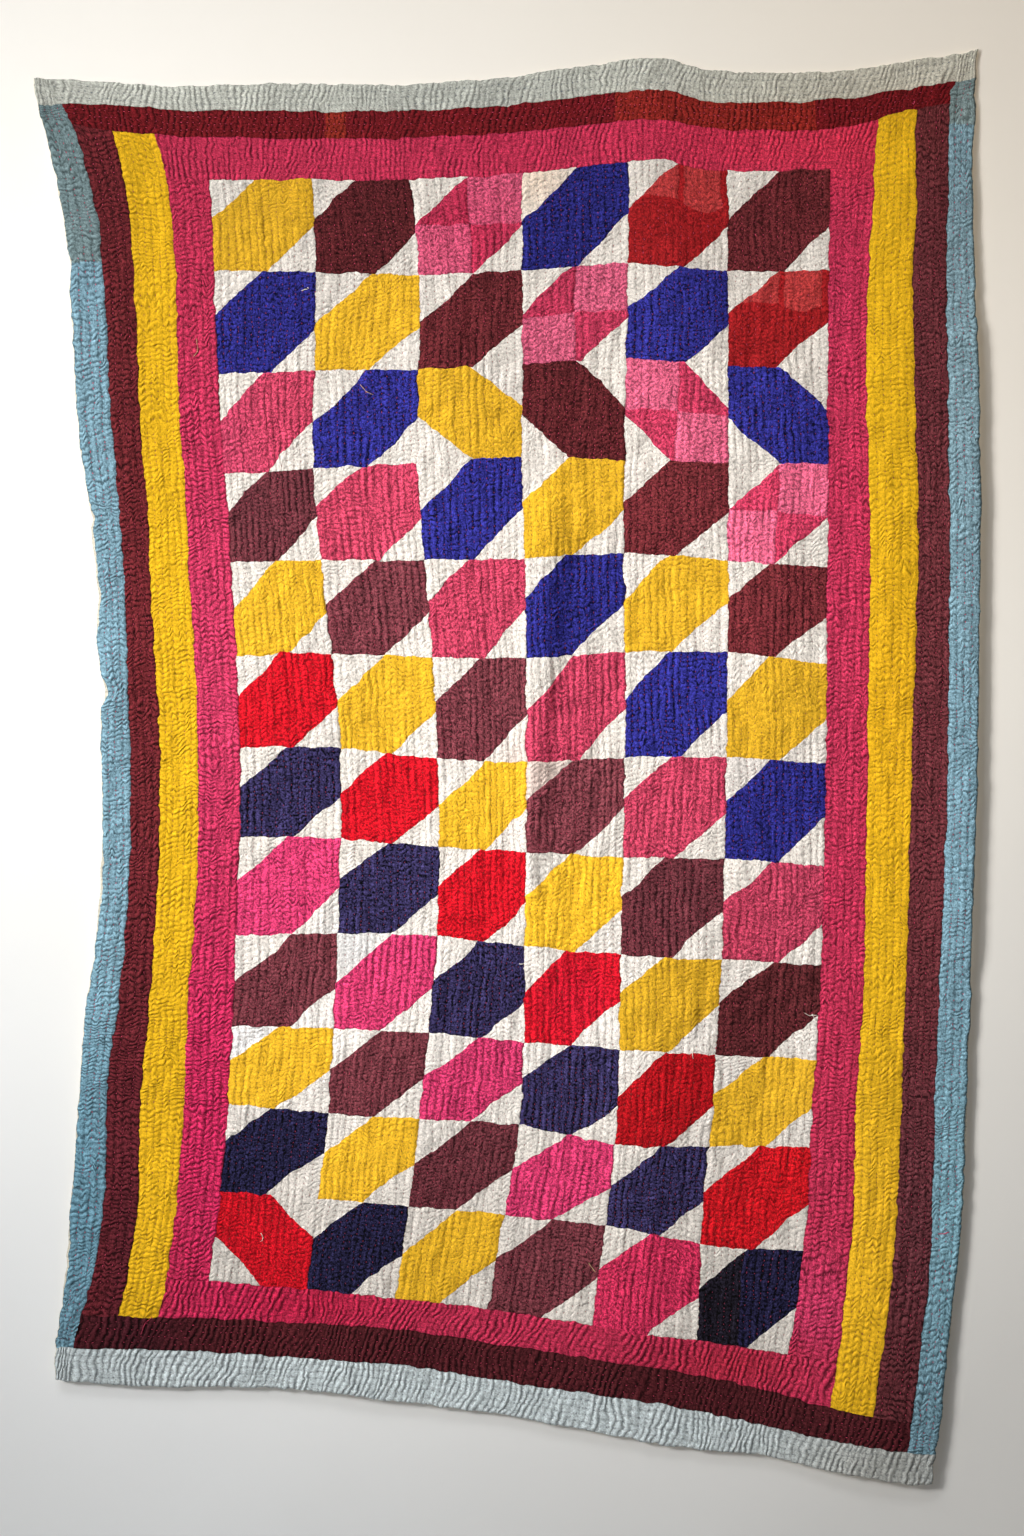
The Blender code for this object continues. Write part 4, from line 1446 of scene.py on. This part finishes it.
def add_stage():
    """A pale wall behind the quilt, which hides nothing from behind, and a pale floor below, both with the
    plaster's painted light and shade.
    """
    y = WALL_BACK
    side = STAGE_REACH
    wall = stage_plane("wall", [(-side, y, FLOOR), (side, y, FLOOR), (side, y, 3), (-side, y, 3)],
                       plaster("wall_paint", True))
    stage_plane("floor", [(-side, -7, FLOOR), (side, -7, FLOOR), (side, 7, FLOOR), (-side, 7, FLOOR)],
                plaster("floor_paint", False))
    return wall


def area_light(name, place, target, size, power, colour, spread):
    """A square lamp at a place, turned to a target."""
    lamp = bpy.data.lights.new(name, "AREA")
    lamp.shape = "SQUARE"
    lamp.size = size
    lamp.energy = power
    lamp.color = colour
    lamp.spread = spread
    holder = bpy.data.objects.new(name, lamp)
    holder.location = place
    holder.rotation_euler = (Vector(target) - Vector(place)).to_track_quat("-Z", "Y").to_euler()
    bpy.context.collection.objects.link(holder)
    return holder


def add_lights():
    """Soft daylight from the left and above, a warm glow at the top right, and a little light all round."""
    for lamp in LAMPS:
        area_light(*lamp)
    world = bpy.data.worlds.new("room_light")
    bpy.context.scene.world = world
    world.use_nodes = True
    background = world.node_tree.nodes["Background"]
    background.inputs["Color"].default_value = ROOM_COLOUR
    background.inputs["Strength"].default_value = ROOM_LIGHT
    bpy.context.scene.view_settings.view_transform = "Standard"


def add_back_light(backing, wall):
    """A soft lamp behind the wall, for views from behind. It lights the backing only, and passes the wall."""
    lamp = area_light(*BACK_LAMP)
    lit = bpy.data.collections.new("lit_from_behind")
    lit.objects.link(backing)
    lamp.light_linking.receiver_collection = lit
    passed = bpy.data.collections.new("passed_by_back_light")
    passed.objects.link(wall)
    passed.collection_objects[0].light_linking.link_state = "EXCLUDE"
    lamp.light_linking.blocker_collection = passed


def add_camera():
    """A camera square to the wall, with the quilt in its frame as it hangs."""
    data = bpy.data.cameras.new("camera")
    camera = bpy.data.objects.new("camera", data)
    camera.location = (VIEW_MIDDLE[0], -CAMERA_AWAY, VIEW_MIDDLE[1])
    camera.rotation_euler = (math.pi / 2, 0, 0)
    data.sensor_width = SENSOR
    data.lens = SENSOR * (CAMERA_AWAY - CLOTH_FRONT) / VIEW_HEIGHT
    bpy.context.collection.objects.link(camera)
    bpy.context.scene.camera = camera




backing_sheet = add_backing()
add_bands()
add_field()
add_stitches()
add_loose_threads()
wall_plane = add_stage()
add_lights()
add_back_light(backing_sheet, wall_plane)
add_camera()
